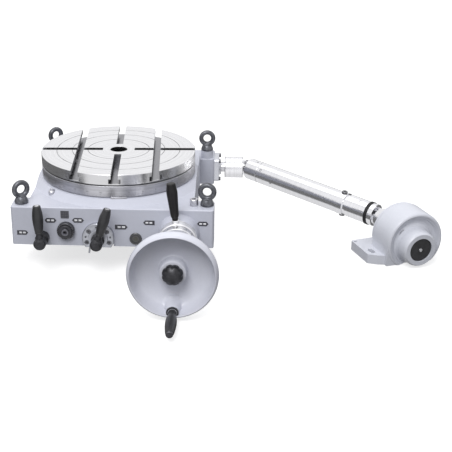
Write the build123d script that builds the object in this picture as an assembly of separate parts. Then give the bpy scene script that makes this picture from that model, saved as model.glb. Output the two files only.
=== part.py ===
from build123d import *
from math import sin, cos, tan, pi, radians, sqrt, atan2
import os

os.makedirs("parts", exist_ok=True)

# Rotary table with hand and power feed. Millimetres.
# Origin: centre of the base underside on the table's axis. X right, Y towards the back, Z up.

# ---------------------------------------------------------------- driving dimensions
TABLE_R = 200.0          # table radius
TABLE_TOP = 176.0        # height of the working face
TABLE_TURN = 3.13        # angle the table stands at, degrees
SLOT_W = 18.0            # T-slot throat
SLOT_HEAD_W = 30.0       # T-slot head
SLOT_FLOOR = 152.5       # T-slot floor height
SLOT_HEAD_TOP = 164.5
SLOT_PITCH = 100.0
GROOVE_Z = (145.5, 149.5)  # dark groove round the rim
RING_Z0 = 117.0          # underside of the graduated ring
RING_R = 199.5
BORE_R = 22.0            # centring bore

BASE_XL, BASE_XR = -242.0, 256.0
BASE_YF = -230.0         # front face
BASE_H = 100.0
BODY_X = 205.0
REAR_Y0, REAR_Y1, REAR_H, REAR_XR = 222.0, 302.0, 76.0, 245.0

WORM_X, WORM_Z = 170.0, 38.0     # worm axis, along Y
MODULE, TEETH = 3.25, 90         # worm wheel
WORM_R = 23.75                   # worm pitch radius
BEVEL_Y = 264.0                  # input shaft axis, along X, at WORM_Z

RUN = 0.05                       # running clearance on the radius

CLAMP_XZ = (-165.0, 22.0)
DIAL_XZ = (-107.0, 42.0)
FEED_XZ = (-28.0, 22.0)
SIGHT_XZ = (64.0, 22.0)
OILER, OILER_Z = (-153.0, -151.0), 105.0

J1 = Vector(339.5, 264.0, 38.0)          # first universal joint centre
SHAFT_DIR = Vector(0.7823, -0.6190, -0.0699).normalized()
SHAFT_LEN = 452.0                        # between the joint centres
J2 = J1 + SHAFT_DIR * SHAFT_LEN
BOX_TURN = 21.4                          # gearbox angle about Z, degrees

# ---------------------------------------------------------------- helpers
MINZ = (Align.CENTER, Align.CENTER, Align.MIN)


def V(p):
    return p if isinstance(p, Vector) else Vector(*p)


def rod(a, b, r):
    a, b = V(a), V(b)
    d = b - a
    return Plane(origin=a, z_dir=d.normalized()) * Cylinder(r, d.length, align=MINZ)


def pipe(a, b, ro, ri):
    a, b = V(a), V(b)
    d = (b - a).normalized()
    return rod(a, b, ro) - rod(a - d, b + d, ri)


def block(x0, x1, y0, y1, z0, z1):
    return Pos((x0 + x1) / 2, (y0 + y1) / 2, (z0 + z1) / 2) * Box(x1 - x0, y1 - y0, z1 - z0)


def turned(points, origin=(0, 0, 0), axis=(0, 0, 1), arc=360):
    """Solid of revolution from (radius, distance along the axis) points."""
    pts = [p for i, p in enumerate(points) if i == 0 or p != points[i - 1]]
    f = make_face(Polyline(*[(r, 0, a) for r, a in pts], close=True))
    s = revolve(f, Axis.Z, arc)
    return Plane(origin=V(origin), z_dir=V(axis)) * s


def prism(points, plane, depth):
    f = make_face(Polyline(*[(x, y, 0) for x, y in points], close=True))
    return plane * extrude(f, depth)


def screw(at, out, r, head_r, head_h, length, socket=True):
    """Socket head cap screw: 'at' is under the head, 'out' points out of the work."""
    at, out = V(at), V(out)
    s = rod(at, at + out * head_h, head_r) + rod(at - out * length, at + out * 0.01, r)
    if socket:
        pl = Plane(origin=at + out * head_h, z_dir=out * -1)
        s -= pl * extrude(RegularPolygon(head_r * 0.5, 6), head_h * 0.55)
    return s


def save(shape, node):
    if isinstance(shape, (list, tuple)):
        shape = Compound(children=[s for s in shape])
    export_step(shape, f"parts/{node}.step")


def one(shape):
    """The single solid of a shape."""
    ss = shape.solids()
    return max(ss, key=lambda s: s.volume)


def gear_points(teeth, module, backlash=0.35, phase=0.0, add=1.0, ded=1.25):
    rp = teeth * module / 2
    ra, rr = rp + add * module, rp - ded * module
    pts = []
    pitch = 2 * pi / teeth
    half = (pi * module / 2 - backlash) / 2
    for i in range(teeth):
        c = phase + i * pitch
        # half widths at root, pitch and tip for straight 20 degree flanks
        hr = half + (rp - rr) * tan(radians(20))
        ht = half - (ra - rp) * tan(radians(20))
        for w, r in ((-hr, rr), (-ht, ra), (ht, ra), (hr, rr)):
            a = c + w / r
            pts.append((r * cos(a), r * sin(a)))
    return pts


def eye_bolt(x, y, z, turn, ring_ro=23.5, ring_ri=10.5):
    """Lifting eye: shank, round collar and ring standing in a vertical plane."""
    mid = (ring_ro + ring_ri) / 2
    cz = ring_ro + 12.0
    ring = Torus(mid, (ring_ro - ring_ri) / 2)
    ring = Pos(0, 0, cz) * (Rot(90, 0, 0) * ring)
    neck = turned([(0, 0), (15.5, 0), (17.0, 2.0), (17.0, 6.0), (15.0, 11.0), (13.0, 16.0), (10.0, 18.0), (0, 18.0)])
    shank = Pos(0, 0, -20) * Cylinder(7.9, 20.5, align=MINZ)
    hole = Pos(0, 0, cz) * (Rot(90, 0, 0) * Cylinder(ring_ri, 30))
    s = (ring + neck) - hole + shank
    return Pos(x, y, z) * (Rot(0, 0, turn) * s)


# ================================================================= base body
front_bar = block(BASE_XL, BASE_XR, BASE_YF, -165, 0, BASE_H)
front_bar = fillet(front_bar.edges().filter_by(Axis.Z), 7)
front_bar = fillet(front_bar.faces().sort_by(Axis.Z)[-1].edges(), 3)
middle = block(-BODY_X, BODY_X, -200, REAR_Y0, 0, BASE_H)
rear_bar = block(BASE_XL, REAR_XR, REAR_Y0, REAR_Y1, 0, REAR_H)
rear_bar = fillet(rear_bar.edges().filter_by(Axis.Z), 7)
rear_bar = fillet(rear_bar.faces().sort_by(Axis.Z)[-1].edges(), 3)
seat = turned([(0, 60), (229, 60), (229, 99), (224, 101), (212, 111), (206.5, 115.5), (0, 115.5)])
seat = seat & block(-BODY_X, BODY_X, -228, REAR_Y0, 50, 130)
base = front_bar + middle + rear_bar + seat
# side lugs for the front hold-down bolts
for sx in (-1, 1):
    base += block(min(sx * 200, sx * 236), max(sx * 200, sx * 236), -112, -68, 0, 20)
# rear eye bolt bosses
for ex in (-208.0, 224.0):
    base += rod((ex, 240, 60), (ex, 240, 97), 17.5)
# boss for the handwheel shaft, flat underneath
boss = turned([(0, 0), (52, 0), (50.5, 3), (49, 8), (48, 14), (47, 28), (46, 28.5), (0, 28.5)],
              origin=(WORM_X, BASE_YF + 0.5, WORM_Z), axis=(0, -1, 0))
boss = boss & block(90, 250, -300, -220, 0, 140)
base += boss
# hollow for the worm wheel, the table journal and the underside opening
base -= rod((0, 0, 14), (0, 0, 66), 154)
base -= rod((0, 0, 60), (0, 0, 130), 97)
base -= rod((0, 0, -5), (0, 0, 20), 70)
base -= rod((0, 0, -5), (0, 0, 6), 84.5)
# bearing recess in the top face
base -= turned([(150, 110), (182, 110), (182, 130), (150, 130)])
# tunnel for the worm shaft and chamber for the bevel gears
base -= rod((WORM_X, -300, WORM_Z), (WORM_X, 245, WORM_Z), 30)
base -= block(134, 233, 236, 310, 9, 67)
base -= rod((225, BEVEL_Y, WORM_Z), (260, BEVEL_Y, WORM_Z), 24)
# holes for the control shafts in the front face
base -= rod((CLAMP_XZ[0], -240, CLAMP_XZ[1]), (CLAMP_XZ[0], -84, CLAMP_XZ[1]), 10 + RUN)
base -= rod((CLAMP_XZ[0], -95, 30), (CLAMP_XZ[0], -95, 130), 8 + RUN)
base -= rod((DIAL_XZ[0], -240, DIAL_XZ[1]), (DIAL_XZ[0], -188, DIAL_XZ[1]), 8 + RUN)
base -= rod((FEED_XZ[0], -240, FEED_XZ[1]), (FEED_XZ[0], -172, FEED_XZ[1]), 12 + RUN)
base -= rod((SIGHT_XZ[0], -240, SIGHT_XZ[1]), (SIGHT_XZ[0], -222, SIGHT_XZ[1]), 12)
# feed trip plunger bore, up from the feed shaft to the rim groove side
base -= rod((FEED_XZ[0], -186, FEED_XZ[1]), (FEED_XZ[0], -186, 130), 6 + RUN)
# tapped holes for the eye bolts
EYES = [(-219.0, -202.0, BASE_H, 38.0), (238.0, -194.0, BASE_H, -4.0), (-208.0, 240.0, 97.0, 40.0), (224.0, 240.0, 97.0, 2.0)]
for x, y, z, t in EYES:
    base -= rod((x, y, z - 24), (x, y, z + 5), 8)
# hold-down bolt holes
for x, y in ((-222, -90), (222, -90)):
    base -= rod((x, y, -5), (x, y, 30), 9)
for x in (-180.0, 60.0):
    base -= rod((x, 284, -5), (x, 284, 110), 9)
    base -= rod((x, 284, 30), (x, 284, 110), 16)
# key slots underneath
base -= block(-9, 9, -240, -150, -1, 6)
base -= block(-9, 9, 222, 310, -1, 6)
# oil filler and flange screw holes
base -= rod((206, -196, 84), (206, -196, 110), 7)
base -= rod((OILER[0], OILER[1], 84), (OILER[0], OILER[1], 125), 5)
base -= rod((OILER[0], OILER[1], OILER_Z), (OILER[0], OILER[1], 130), 8.8)
FL_C = (FEED_XZ[0], 24.0)
FL_ANG = (40, 140, 200, 340)
for a in FL_ANG:
    x, z = FL_C[0] + 29 * cos(radians(a)), FL_C[1] + 29 * sin(radians(a))
    base -= rod((x, -240, z), (x, -214, z), 3.05)
for dy in (-26.5, 26.5):
    for dz in (-26.5, 26.5):
        base -= rod((236, BEVEL_Y + dy, WORM_Z + dz), (250, BEVEL_Y + dy, WORM_Z + dz), 3.05)
REAR_SCREWS = [(128.5, 4.5), (239.0, 4.5), (128.5, 71.0), (239.0, 71.0)]
for x, z in ((127.0, 38.0), (239.0, 14.0), (127.0, 62.0), (239.0, 62.0), (127.0, 14.0)):
    base -= rod((x, 290, z), (x, 310, z), 2.55)
for i in range(6):
    a = radians(60 * i + 30)
    base -= rod((77.5 * cos(a), 77.5 * sin(a), 4), (77.5 * cos(a), 77.5 * sin(a), 13), 2.05)
base = one(base)
save(base, "base_casting")

save([eye_bolt(*e) for e in EYES], "eye_bolts")

# bottom cover and its screws
cover = rod((0, 0, 0), (0, 0, 5.98), 84)
cov_screws = []
for i in range(6):
    a = radians(60 * i + 30)
    p = Vector(77.5 * cos(a), 77.5 * sin(a), 0)
    cover -= rod(p + Vector(0, 0, -1), p + Vector(0, 0, 8), 2.3)
    cover -= rod(p + Vector(0, 0, -1), p + Vector(0, 0, 3.5), 4.2)
    cov_screws.append(screw(p + Vector(0, 0, 3.5), Vector(0, 0, -1), 2.0, 4.0, 2.6, 8.5, False))
save(cover, "bottom_cover")

# thrust race, journal bush, index plate
race = turned([(150.2, 110.02), (181.8, 110.02), (181.8, 116.0), (150.2, 116.0)])
save(race, "thrust_race")
bush = turned([(90 + RUN, 68), (96.98, 68), (96.98, 115), (90 + RUN, 115)])
save(bush, "table_journal_bush")
index_plate = Rot(0, 0, -89.5) * turned([(200.6, 115.52), (206.4, 115.52), (206.4, 117.8), (203.2, 119.6), (200.6, 119.6)], arc=11)
save(index_plate, "index_plate")

# clamp brake pin
save(rod((CLAMP_XZ[0], -95, 32.15), (CLAMP_XZ[0], -95, 115.3), 8), "brake_pin")
# trip plunger
trip = rod((FEED_XZ[0], -186, 34.4), (FEED_XZ[0], -186, 114.5), 6)
save(trip, "trip_plunger")

# label plates on the front face (blank direction markers)
def marker(x, z, w, h, point):
    k = h * 0.42
    L = -w / 2 + (k if point in ("left", "both") else 0)
    R = w / 2 - (k if point in ("right", "both") else 0)
    pts = [(L, -h / 2), (R, -h / 2)]
    if point in ("right", "both"):
        pts.append((w / 2, 0))
    pts += [(R, h / 2), (L, h / 2)]
    if point in ("left", "both"):
        pts.append((-w / 2, 0))
    return prism(pts, Plane(origin=(x, BASE_YF, z), x_dir=(1, 0, 0), z_dir=(0, -1, 0)), 0.9)


MARKERS = [(-215, 32, 27, 11.5, "right"), (-144.5, 66, 29, 12, "both"), (-77, 67.5, 29, 12, "both"),
           (29, 52, 31, 12, "right"), (97, 65, 28, 11.5, "left"), (229, 65, 28, 11.5, "both")]
save([marker(*m) for m in MARKERS] + [block(-119, -99, BASE_YF - 1.2, BASE_YF, 72.5, 91.5)], "label_plates")

# oil sight and oil filler
sight = turned([(0, -7.5), (11.9, -7.5), (11.9, 0), (15.2, 0), (15.2, 2.6), (13.6, 4.0), (10.5, 4.0), (10.5, 2.8), (0, 2.8)],
               origin=(SIGHT_XZ[0], BASE_YF, SIGHT_XZ[1]), axis=(0, -1, 0))
save(sight, "oil_sight")
filler = turned([(0, -15), (6.9, -15), (6.9, 0), (10.5, 0), (10.5, 15.5), (9.3, 17.0), (5.2, 17.0), (5.2, 11), (0, 11)],
                origin=(206, -196, BASE_H), axis=(0, 0, 1))
oiler = turned([(0, -12), (4.95, -12), (4.95, 0.02), (8.2, 0.02), (8.2, 6.5), (6.4, 9.5), (3.6, 10.5), (3.6, 13.5), (2.4, 14.6), (0, 14.6)],
               origin=(OILER[0], OILER[1], OILER_Z), axis=(0, 0, 1))
save([filler, oiler], "oil_filler")

# bolted feed flange, flat underneath
flange = turned([(12.5, 0), (39.5, 0), (39.5, 9.5), (38, 11), (24.5, 11), (23.5, 13.5), (12.5, 13.5)],
                origin=(FL_C[0], BASE_YF, FL_C[1]), axis=(0, -1, 0))
flange = flange & block(-80, 30, -260, -220, 1.0, 80)
flange -= rod((FEED_XZ[0], -260, FEED_XZ[1]), (FEED_XZ[0], -220, FEED_XZ[1]), 13.0)
fl_screws = []
for a in FL_ANG:
    x, z = FL_C[0] + 29 * cos(radians(a)), FL_C[1] + 29 * sin(radians(a))
    flange -= rod((x, -244, z), (x, -228, z), 3.4)
    flange -= rod((x, -250, z), (x, -234.5, z), 6.0)
    fl_screws.append(screw((x, -234.5, z), (0, -1, 0), 3.0, 5.4, 5.2, 18))
flange += rod((-47.0, -242.0, 10), (-50.5, -242.0, -14), 2.2)
save(one(flange), "feed_flange")
dowels = []
for a in (8, 97, 172):
    x, z = FL_C[0] + 30.5 * cos(radians(a)), FL_C[1] + 30.5 * sin(radians(a))
    dowels.append(rod((x, -241.0, z), (x, -242.6, z), 2.3))


# ================================================================= table body
def table_slots():
    s = None

    def add(q):
        nonlocal s
        s = q if s is None else s + q
    for x in (-SLOT_PITCH, SLOT_PITCH):
        add(block(x - SLOT_W / 2, x + SLOT_W / 2, -250, 250, SLOT_HEAD_TOP - 1, 190))
        add(block(x - SLOT_HEAD_W / 2, x + SLOT_HEAD_W / 2, -250, 250, SLOT_FLOOR, SLOT_HEAD_TOP))
    for y0, y1 in ((-250, -41), (41, 250)):
        add(block(-SLOT_W / 2, SLOT_W / 2, y0, y1, SLOT_HEAD_TOP - 1, 190))
        add(block(-SLOT_HEAD_W / 2, SLOT_HEAD_W / 2, y0, y1, SLOT_FLOOR, SLOT_HEAD_TOP))
        add(block(y0, y1, -SLOT_W / 2, SLOT_W / 2, SLOT_HEAD_TOP - 1, 190))
        add(block(y0, y1, -SLOT_HEAD_W / 2, SLOT_HEAD_W / 2, SLOT_FLOOR, SLOT_HEAD_TOP))
    return s


plate = turned([(40, 130), (40, TABLE_TOP), (TABLE_R - 1.2, TABLE_TOP), (TABLE_R, TABLE_TOP - 1.2), (TABLE_R, GROOVE_Z[1]),
                (188, GROOVE_Z[1]), (188, GROOVE_Z[0]), (185, GROOVE_Z[0]), (185, RING_Z0), (26, RING_Z0), (26, 130)])
# engraved centring circles
for r in (80.0, 120.0, 160.0):
    plate -= turned([(r - 0.45, TABLE_TOP + 1), (r - 0.45, TABLE_TOP - 0.5), (r + 0.45, TABLE_TOP - 0.5), (r + 0.45, TABLE_TOP + 1)])
plate -= table_slots()
for i in range(8):
    a = radians(45 * i + 22.5)
    plate -= rod((70 * cos(a), 70 * sin(a), 110), (70 * cos(a), 70 * sin(a), 140), 4.05)
plate = one(Rot(0, 0, TABLE_TURN) * plate)
save(plate, "table_plate")

ring = turned([(185.02, RING_Z0), (RING_R - 0.8, RING_Z0), (RING_R, RING_Z0 + 0.8), (RING_R, GROOVE_Z[0] - 0.8), (RING_R - 0.8, GROOVE_Z[0]), (185.02, GROOVE_Z[0])])
save(Rot(0, 0, TABLE_TURN) * ring, "graduated_ring")
csleeve = turned([(BORE_R, 130.02), (39.98, 130.02), (39.98, TABLE_TOP), (BORE_R + 1.2, TABLE_TOP), (BORE_R, TABLE_TOP - 1.2)])
save(csleeve, "centre_sleeve")

spindle = turned([(26, 60), (120, 60), (120, 65.5), (90, 65.5), (90, 104), (90, RING_Z0 - 0.02), (26, RING_Z0 - 0.02)])
sp_screws, wh_screws = [], []
for i in range(8):
    a = radians(45 * i + 22.5 + TABLE_TURN)
    x, y = 70 * cos(a), 70 * sin(a)
    spindle -= rod((x, y, 50), (x, y, 130), 4.4)
    spindle -= rod((x, y, 50), (x, y, 70), 7.2)
    sp_screws.append(screw((x, y, 70), (0, 0, -1), 4.0, 6.5, 8.0, 62))
for i in range(8):
    a = radians(45 * i + TABLE_TURN)
    x, y = 106 * cos(a), 106 * sin(a)
    spindle -= rod((x, y, 50), (x, y, 80), 3.05)
    wh_screws.append(screw((x, y, 34), (0, 0, -1), 3.0, 5.0, 6.0, 31))
save(one(spindle), "table_spindle")

wheel_face = make_face(Polyline(*[(x, y, 0) for x, y in gear_points(TEETH, MODULE, backlash=1.0, phase=0.0)], close=True))
wheel = Pos(0, 0, 26) * extrude(wheel_face, 24)
wheel = wheel - rod((0, 0, 20), (0, 0, 60), 88)
wheel += pipe((0, 0, 50), (0, 0, 60), 118, 88)
for i in range(8):
    a = radians(45 * i + TABLE_TURN)
    x, y = 106 * cos(a), 106 * sin(a)
    wheel -= rod((x, y, 20), (x, y, 70), 3.4)
    wheel -= rod((x, y, 20), (x, y, 34), 5.6)
save(one(wheel), "worm_wheel")
save(sp_screws + wh_screws, "table_screws")

# ================================================================= worm body
WY = Vector(0, -1, 0)


def wpt(y):
    return (WORM_X, y, WORM_Z)


# single-start worm thread: transverse section swept with a full turn per pitch
PITCH = pi * MODULE
root_r, tip_r = WORM_R - 1.22 * MODULE, WORM_R + 0.98 * MODULE
half_pitch_w = PITCH / 2 - 0.55          # axial thickness of the thread at the pitch line
flank = tan(radians(20))
w_root = (half_pitch_w / 2 + (WORM_R - root_r) * flank) / PITCH * 2 * pi
w_tip = (half_pitch_w / 2 - (tip_r - WORM_R) * flank) / PITCH * 2 * pi


def polar(r, a):
    return (r * cos(a), r * sin(a), 0)


tip = ThreePointArc(polar(tip_r, -w_tip), polar(tip_r, 0), polar(tip_r, w_tip))
down = Spline(*[polar(tip_r + (root_r - tip_r) * t, w_tip + (w_root - w_tip) * t) for t in (0, 0.25, 0.5, 0.75, 1)])
rootarc = ThreePointArc(polar(root_r, w_root), polar(root_r, pi), polar(root_r, 2 * pi - w_root))
up = Spline(*[polar(root_r + (tip_r - root_r) * t, -w_root + (w_root - w_tip) * t) for t in (0, 0.25, 0.5, 0.75, 1)])
section = make_face([tip, down, rootarc, up]).faces()[0]
TURNS = 5
thread = Solid.extrude_linear_with_rotation(section, (0, 0, 0), (0, 0, PITCH * TURNS), 360 * TURNS)
# the thread's phase at mid length puts a space opposite the wheel tooth on the common normal
WORM_PHASE = 0.0
thread = Pos(0, 0, -PITCH * TURNS / 2) * thread
if thread.volume < 0:
    thread = -thread
ROOT_R = root_r
worm_axis_plane = Plane(origin=wpt(0), x_dir=(-1, 0, 0), z_dir=(0, -1, 0))
worm = worm_axis_plane * (Rot(0, 0, WORM_PHASE) * thread)
HALF = PITCH * TURNS / 2
worm = worm + turned([(0, -252), (8, -252), (8, -239.9), (15, -239.9), (15, -HALF - 3), (ROOT_R - 0.6, -HALF - 0.5), (ROOT_R - 0.6, HALF + 0.5), (16, HALF + 5),
                      (16, 286), (15, 286), (15, 412), (14, 414), (14, 459), (10, 461), (10, 482.0), (0, 482.0)],
                     origin=wpt(0), axis=(0, -1, 0))
worm_solid = one(worm)
save(worm_solid, "worm_shaft")

# bearings for the worm shaft in the base
save([pipe(wpt(-286), wpt(-232), 29.98, 16 + RUN), pipe(wpt(160), wpt(196), 29.98, 15 + RUN)], "worm_bearings")

# graduated hand dial
dial = turned([(15.98, 287.0), (44.5, 287.0), (45.2, 288), (45.2, 306), (43.5, 309), (30, 312), (15.98, 312)], origin=wpt(0), axis=(0, -1, 0))
dial = one(dial)
save(dial, "hand_dial")

# handwheel: hub, dished web and rounded rim
hw = turned([(15.0, 312.5), (34, 312.5), (34, 392), (36, 410), (44, 422), (70, 436), (92, 446), (100, 452), (103.5, 458), (104.7, 465),
             (104.2, 472), (102.3, 478), (99.8, 482), (97.5, 483.5), (95.5, 482.5), (92.5, 474), (86, 460), (72, 446), (52, 436.5), (34, 433), (31, 436), (31, 458),
             (28, 460.5), (16, 460.5), (16, 458.8), (15.0, 458.8)], origin=wpt(0), axis=(0, -1, 0))
PIN_R = 89.0
px_, pz_ = WORM_X, WORM_Z - PIN_R
lug = turned([(0, 437), (19, 449), (16.5, 474), (14, 479), (11.0, 480), (0, 480)], origin=(px_, 0, pz_), axis=(0, -1, 0))
lug = lug & rod(wpt(-412), wpt(-492), 103.0)
hw = hw + lug
hw -= rod((px_, -412, pz_), (px_, -512, pz_), 6)
hw -= rod((px_, -472, pz_), (px_, -512, pz_), 10.5)
hw -= block(WORM_X - 2.5, WORM_X + 2.5, -461, -417, WORM_Z, WORM_Z + 17.6)
hw = one(hw)
save(hw, "handwheel")
nut = turned([(10.02, 461.0), (24.0, 461.0), (24.6, 462.5), (24.6, 470), (22.0, 477), (12, 484), (0, 485), (0, 482.05), (10.02, 482.05)], origin=wpt(0), axis=(0, -1, 0))
for i in range(8):
    a = radians(45 * i + 22.5)
    nut -= rod((WORM_X + 27.2 * cos(a), -452, WORM_Z + 27.2 * sin(a)), (WORM_X + 27.2 * cos(a), -492, WORM_Z + 27.2 * sin(a)), 5.4)
save(one(nut), "handwheel_nut")
save(block(WORM_X - 2.45, WORM_X + 2.45, -457, -419, WORM_Z + 14.95, WORM_Z + 17.5), "handwheel_key")

# crank handle pin and its free-turning grip
pin = rod((px_, -430, pz_), (px_, -472.2, pz_), 5.98) + rod((px_, -472, pz_), (px_, -476, pz_), 10.3) + rod((px_, -475.5, pz_), (px_, -578, pz_), 5.0)
pin += turned([(0, 578), (8.5, 578), (8.5, 581.5), (7.0, 583.5), (0, 583.5)], origin=(px_, 0, pz_), axis=(0, -1, 0))
save(one(pin), "crank_pin")
grip = turned([(5.0 + RUN, 476.4), (9.0, 476.4), (9.6, 482), (9.2, 488), (10.8, 498), (12.6, 512), (13.2, 527), (12.9, 544), (11.6, 560), (10.4, 570), (9.8, 575), (8.6, 577.4), (5.0 + RUN, 577.4)],
              origin=(px_, 0, pz_), axis=(0, -1, 0))
save(grip, "crank_grip")

# ================================================================= clutch ring and lever on the boss
CL_Y = -270.0
clutch = turned([(30.05, 258.8), (46, 258.8), (47.0, 260), (47.0, 283), (45.0, 285.5), (30.05, 285.5)], origin=wpt(0), axis=(0, -1, 0))
LEAN = 6.3
ldir = Vector(-sin(radians(LEAN)), 0, cos(radians(LEAN)))
cc = Vector(WORM_X, CL_Y, WORM_Z)
clutch = one(clutch - rod(cc + ldir * 33, cc + ldir * 60, 5.0))
save(clutch, "clutch_ring")
lev_pl = dict(origin=cc, axis=ldir)
clutch_lever = turned([(0, 34), (4.95, 34), (4.95, 47.3), (7.0, 48.4), (7.0, 54.5), (8.4, 56.5), (9.6, 70), (11.4, 95), (13.2, 118), (13.4, 124), (11.2, 138), (10.4, 146), (9.4, 147.5), (0, 147.5)], **lev_pl)
save(clutch_lever, "clutch_lever")


# ================================================================= bulged hand levers on the front face
def hand_lever(xz, lean, y_back):
    """Hub turning on the front face and a bulged grip standing up from its nose."""
    x, z = xz
    hub = turned([(0, -y_back), (16.0, -y_back), (16.5, -y_back + 1.5), (16.5, 250), (13, 253), (12.0, 257), (14.2, 260), (15.0, 263), (15.0, 280), (13.2, 284), (9, 286), (0, 286)],
                 origin=(x, 0, z), axis=(0, -1, 0))
    d = Vector(sin(radians(lean)), 0, cos(radians(lean)))
    c = Vector(x, -271.0, z)
    arm = turned([(0, 8), (9.2, 8), (9.2, 16), (8.0, 22), (8.0, 26), (0, 26)], origin=c, axis=d)
    hub = hub + arm
    hub -= rod(c + d * 16, c + d * 30, 5.0)
    grip = turned([(0, 17), (4.98, 17), (4.98, 26.05), (9.8, 26.05), (10.4, 28), (11.8, 40), (13.0, 56), (13.2, 68), (12.2, 80), (10.6, 90), (9.6, 95), (7.5, 97.5), (0, 98.5)],
                  origin=c, axis=d)
    return one(hub), grip, c, d


hub, grip, c, d = hand_lever(CLAMP_XZ, -2.0, -230.4)
shaft = rod((CLAMP_XZ[0], -262, CLAMP_XZ[1]), (CLAMP_XZ[0], -86, CLAMP_XZ[1]), 10)
shaft -= block(CLAMP_XZ[0] - 12, CLAMP_XZ[0] + 12, -106, -84, CLAMP_XZ[1] + 9.0, CLAMP_XZ[1] + 12)
save(one(hub + shaft), "clamp_lever_hub")
save(grip, "clamp_lever_grip")

hub, grip, c, d = hand_lever(FEED_XZ, 17.6, -244.0)
fshaft = rod((FEED_XZ[0], -262, FEED_XZ[1]), (FEED_XZ[0], -174, FEED_XZ[1]), 12)
save(one(hub + fshaft), "feed_lever_hub")
save(grip, "feed_lever_grip")

# selector dial with stepped face and a socket
sel = turned([(0, 0.3), (21.5, 0.3), (21.5, 11), (19.8, 12.5), (18.5, 12.5), (18.5, 11.2), (16.2, 11.2), (16.2, 15.5), (15.0, 16.8), (9.8, 16.8), (9.8, 20.0), (8.6, 21), (5.0, 21), (5.0, 13), (0, 13)],
             origin=(DIAL_XZ[0], BASE_YF, DIAL_XZ[1]), axis=(0, -1, 0))
sel = sel + rod((DIAL_XZ[0], -230.5, DIAL_XZ[1]), (DIAL_XZ[0], -190, DIAL_XZ[1]), 8)
sel += block(DIAL_XZ[0] - 1.0, DIAL_XZ[0] + 1.0, BASE_YF - 17.6, BASE_YF - 16.0, DIAL_XZ[1] + 10.2, DIAL_XZ[1] + 14.6)
save(one(sel), "selector_dial")


# ================================================================= bevel gears in the rear chamber
def bevel(teeth, module, face, phase):
    """Mitre gear with its apex at the origin and its axis along +Z, large end towards -Z."""
    rp = teeth * module / 2
    pts = gear_points(teeth, module, backlash=0.7, phase=phase, add=0.8, ded=1.1)
    k = (rp - face) / rp
    big = make_face(Polyline(*[(x, y, -rp) for x, y in pts], close=True))
    small = make_face(Polyline(*[(x * k, y * k, -rp * k) for x, y in pts], close=True))
    return Solid.make_loft([big.faces()[0].outer_wire(), small.faces()[0].outer_wire()], ruled=True)


BT, BM = 16, 3.0
apex = Vector(WORM_X, BEVEL_Y, WORM_Z)
bA = Plane(origin=apex, x_dir=(1, 0, 0), z_dir=(0, 1, 0)) * bevel(BT, BM, 11, 0.0)
bA = bA - rod(wpt(200), wpt(262), 8.04)
save(one(bA), "bevel_gear_worm")
bB = Plane(origin=apex, x_dir=(0, -1, 0), z_dir=(-1, 0, 0)) * bevel(BT, BM, 11, pi / BT)
bB = bB - rod(apex, apex + Vector(40, 0, 0), 8.04)
save(one(bB), "bevel_gear_input")

# input shaft, its bearing flange and screws
ish = turned([(0, 12.5), (7.98, 12.5), (7.98, 24.1), (14, 24.1), (13.96, 104), (11.94, 106), (11.94, 124), (0, 124)], origin=apex, axis=(1, 0, 0))
save(ish, "input_shaft")
FX = REAR_XR
iflange = block(FX, FX + 13, BEVEL_Y - 34, BEVEL_Y + 34, WORM_Z - 34, WORM_Z + 34)
iflange = fillet(iflange.edges().filter_by(Axis.X), 9)
iflange += rod((FX - 14, BEVEL_Y, WORM_Z), (FX + 0.5, BEVEL_Y, WORM_Z), 23.98)
iflange += turned([(0, 0), (24, 0), (21, 5), (0, 5)], origin=(FX + 13, BEVEL_Y, WORM_Z), axis=(1, 0, 0))
iflange -= rod((200, BEVEL_Y, WORM_Z), (300, BEVEL_Y, WORM_Z), 18)
ifs = []
for dy in (-26.5, 26.5):
    for dz in (-26.5, 26.5):
        iflange -= rod((FX - 2, BEVEL_Y + dy, WORM_Z + dz), (FX + 20, BEVEL_Y + dy, WORM_Z + dz), 3.4)
        ifs.append(screw((FX + 13, BEVEL_Y + dy, WORM_Z + dz), (1, 0, 0), 3.0, 5.5, 5.5, 20))
save(one(iflange), "input_flange")
save(pipe((FX - 13, BEVEL_Y, WORM_Z), (FX + 17, BEVEL_Y, WORM_Z), 17.98, 14 + RUN), "input_bush")
# rear cover
rc = block(120, 244, REAR_Y1, REAR_Y1 + 5, 5, 71)
rc = fillet(rc.edges().filter_by(Axis.Y), 6)
rcs = []
for x, z in ((127.0, 62.0), (239.0, 62.0), (127.0, 14.0), (239.0, 14.0)):
    rc -= rod((x, 300, z), (x, 310, z), 2.8)
    rcs.append(screw((x, REAR_Y1 + 5, z), (0, 1, 0), 2.5, 4.3, 4.0, 9))
save(rc, "rear_cover")
save(cov_screws + fl_screws + dowels + ifs + rcs, "base_screws")


# ================================================================= universal shaft
R_SL = 30.0          # outer radius of the sleeves
EAR_IN, EAR_OUT, EAR_W, EAR_TIP = 10.5, 20.8, 6.0, 8.5
CUP = 28.0


def fork(centre, axis, x_dir, back, r_out, cup=CUP):
    """One half of a universal joint: a cylinder ending in a hollow cup with two ears.
    'axis' points from the cylinder to the joint centre; ears stand on +-x_dir."""
    pl = Plane(origin=centre, x_dir=x_dir, z_dir=axis)
    body = Pos(0, 0, -back) * Cylinder(r_out, back - 12.0, align=MINZ)
    body = fillet(body.edges().sort_by(Axis.Z)[0:1], 1.5)
    body -= Sphere(cup)
    ears = None
    for s in (-1, 1):
        e = block(min(s * EAR_IN, s * EAR_OUT), max(s * EAR_IN, s * EAR_OUT), -EAR_W, EAR_W, -cup - 1.0, EAR_TIP)
        ears = e if ears is None else ears + e
    ears = ears & (Pos(0, 0, -cup - 1) * Cylinder(24.0, cup + 1 + EAR_TIP, align=MINZ))
    ears -= Rot(0, 90, 0) * Cylinder(3.5, 60)
    return pl * (body + ears)


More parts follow.
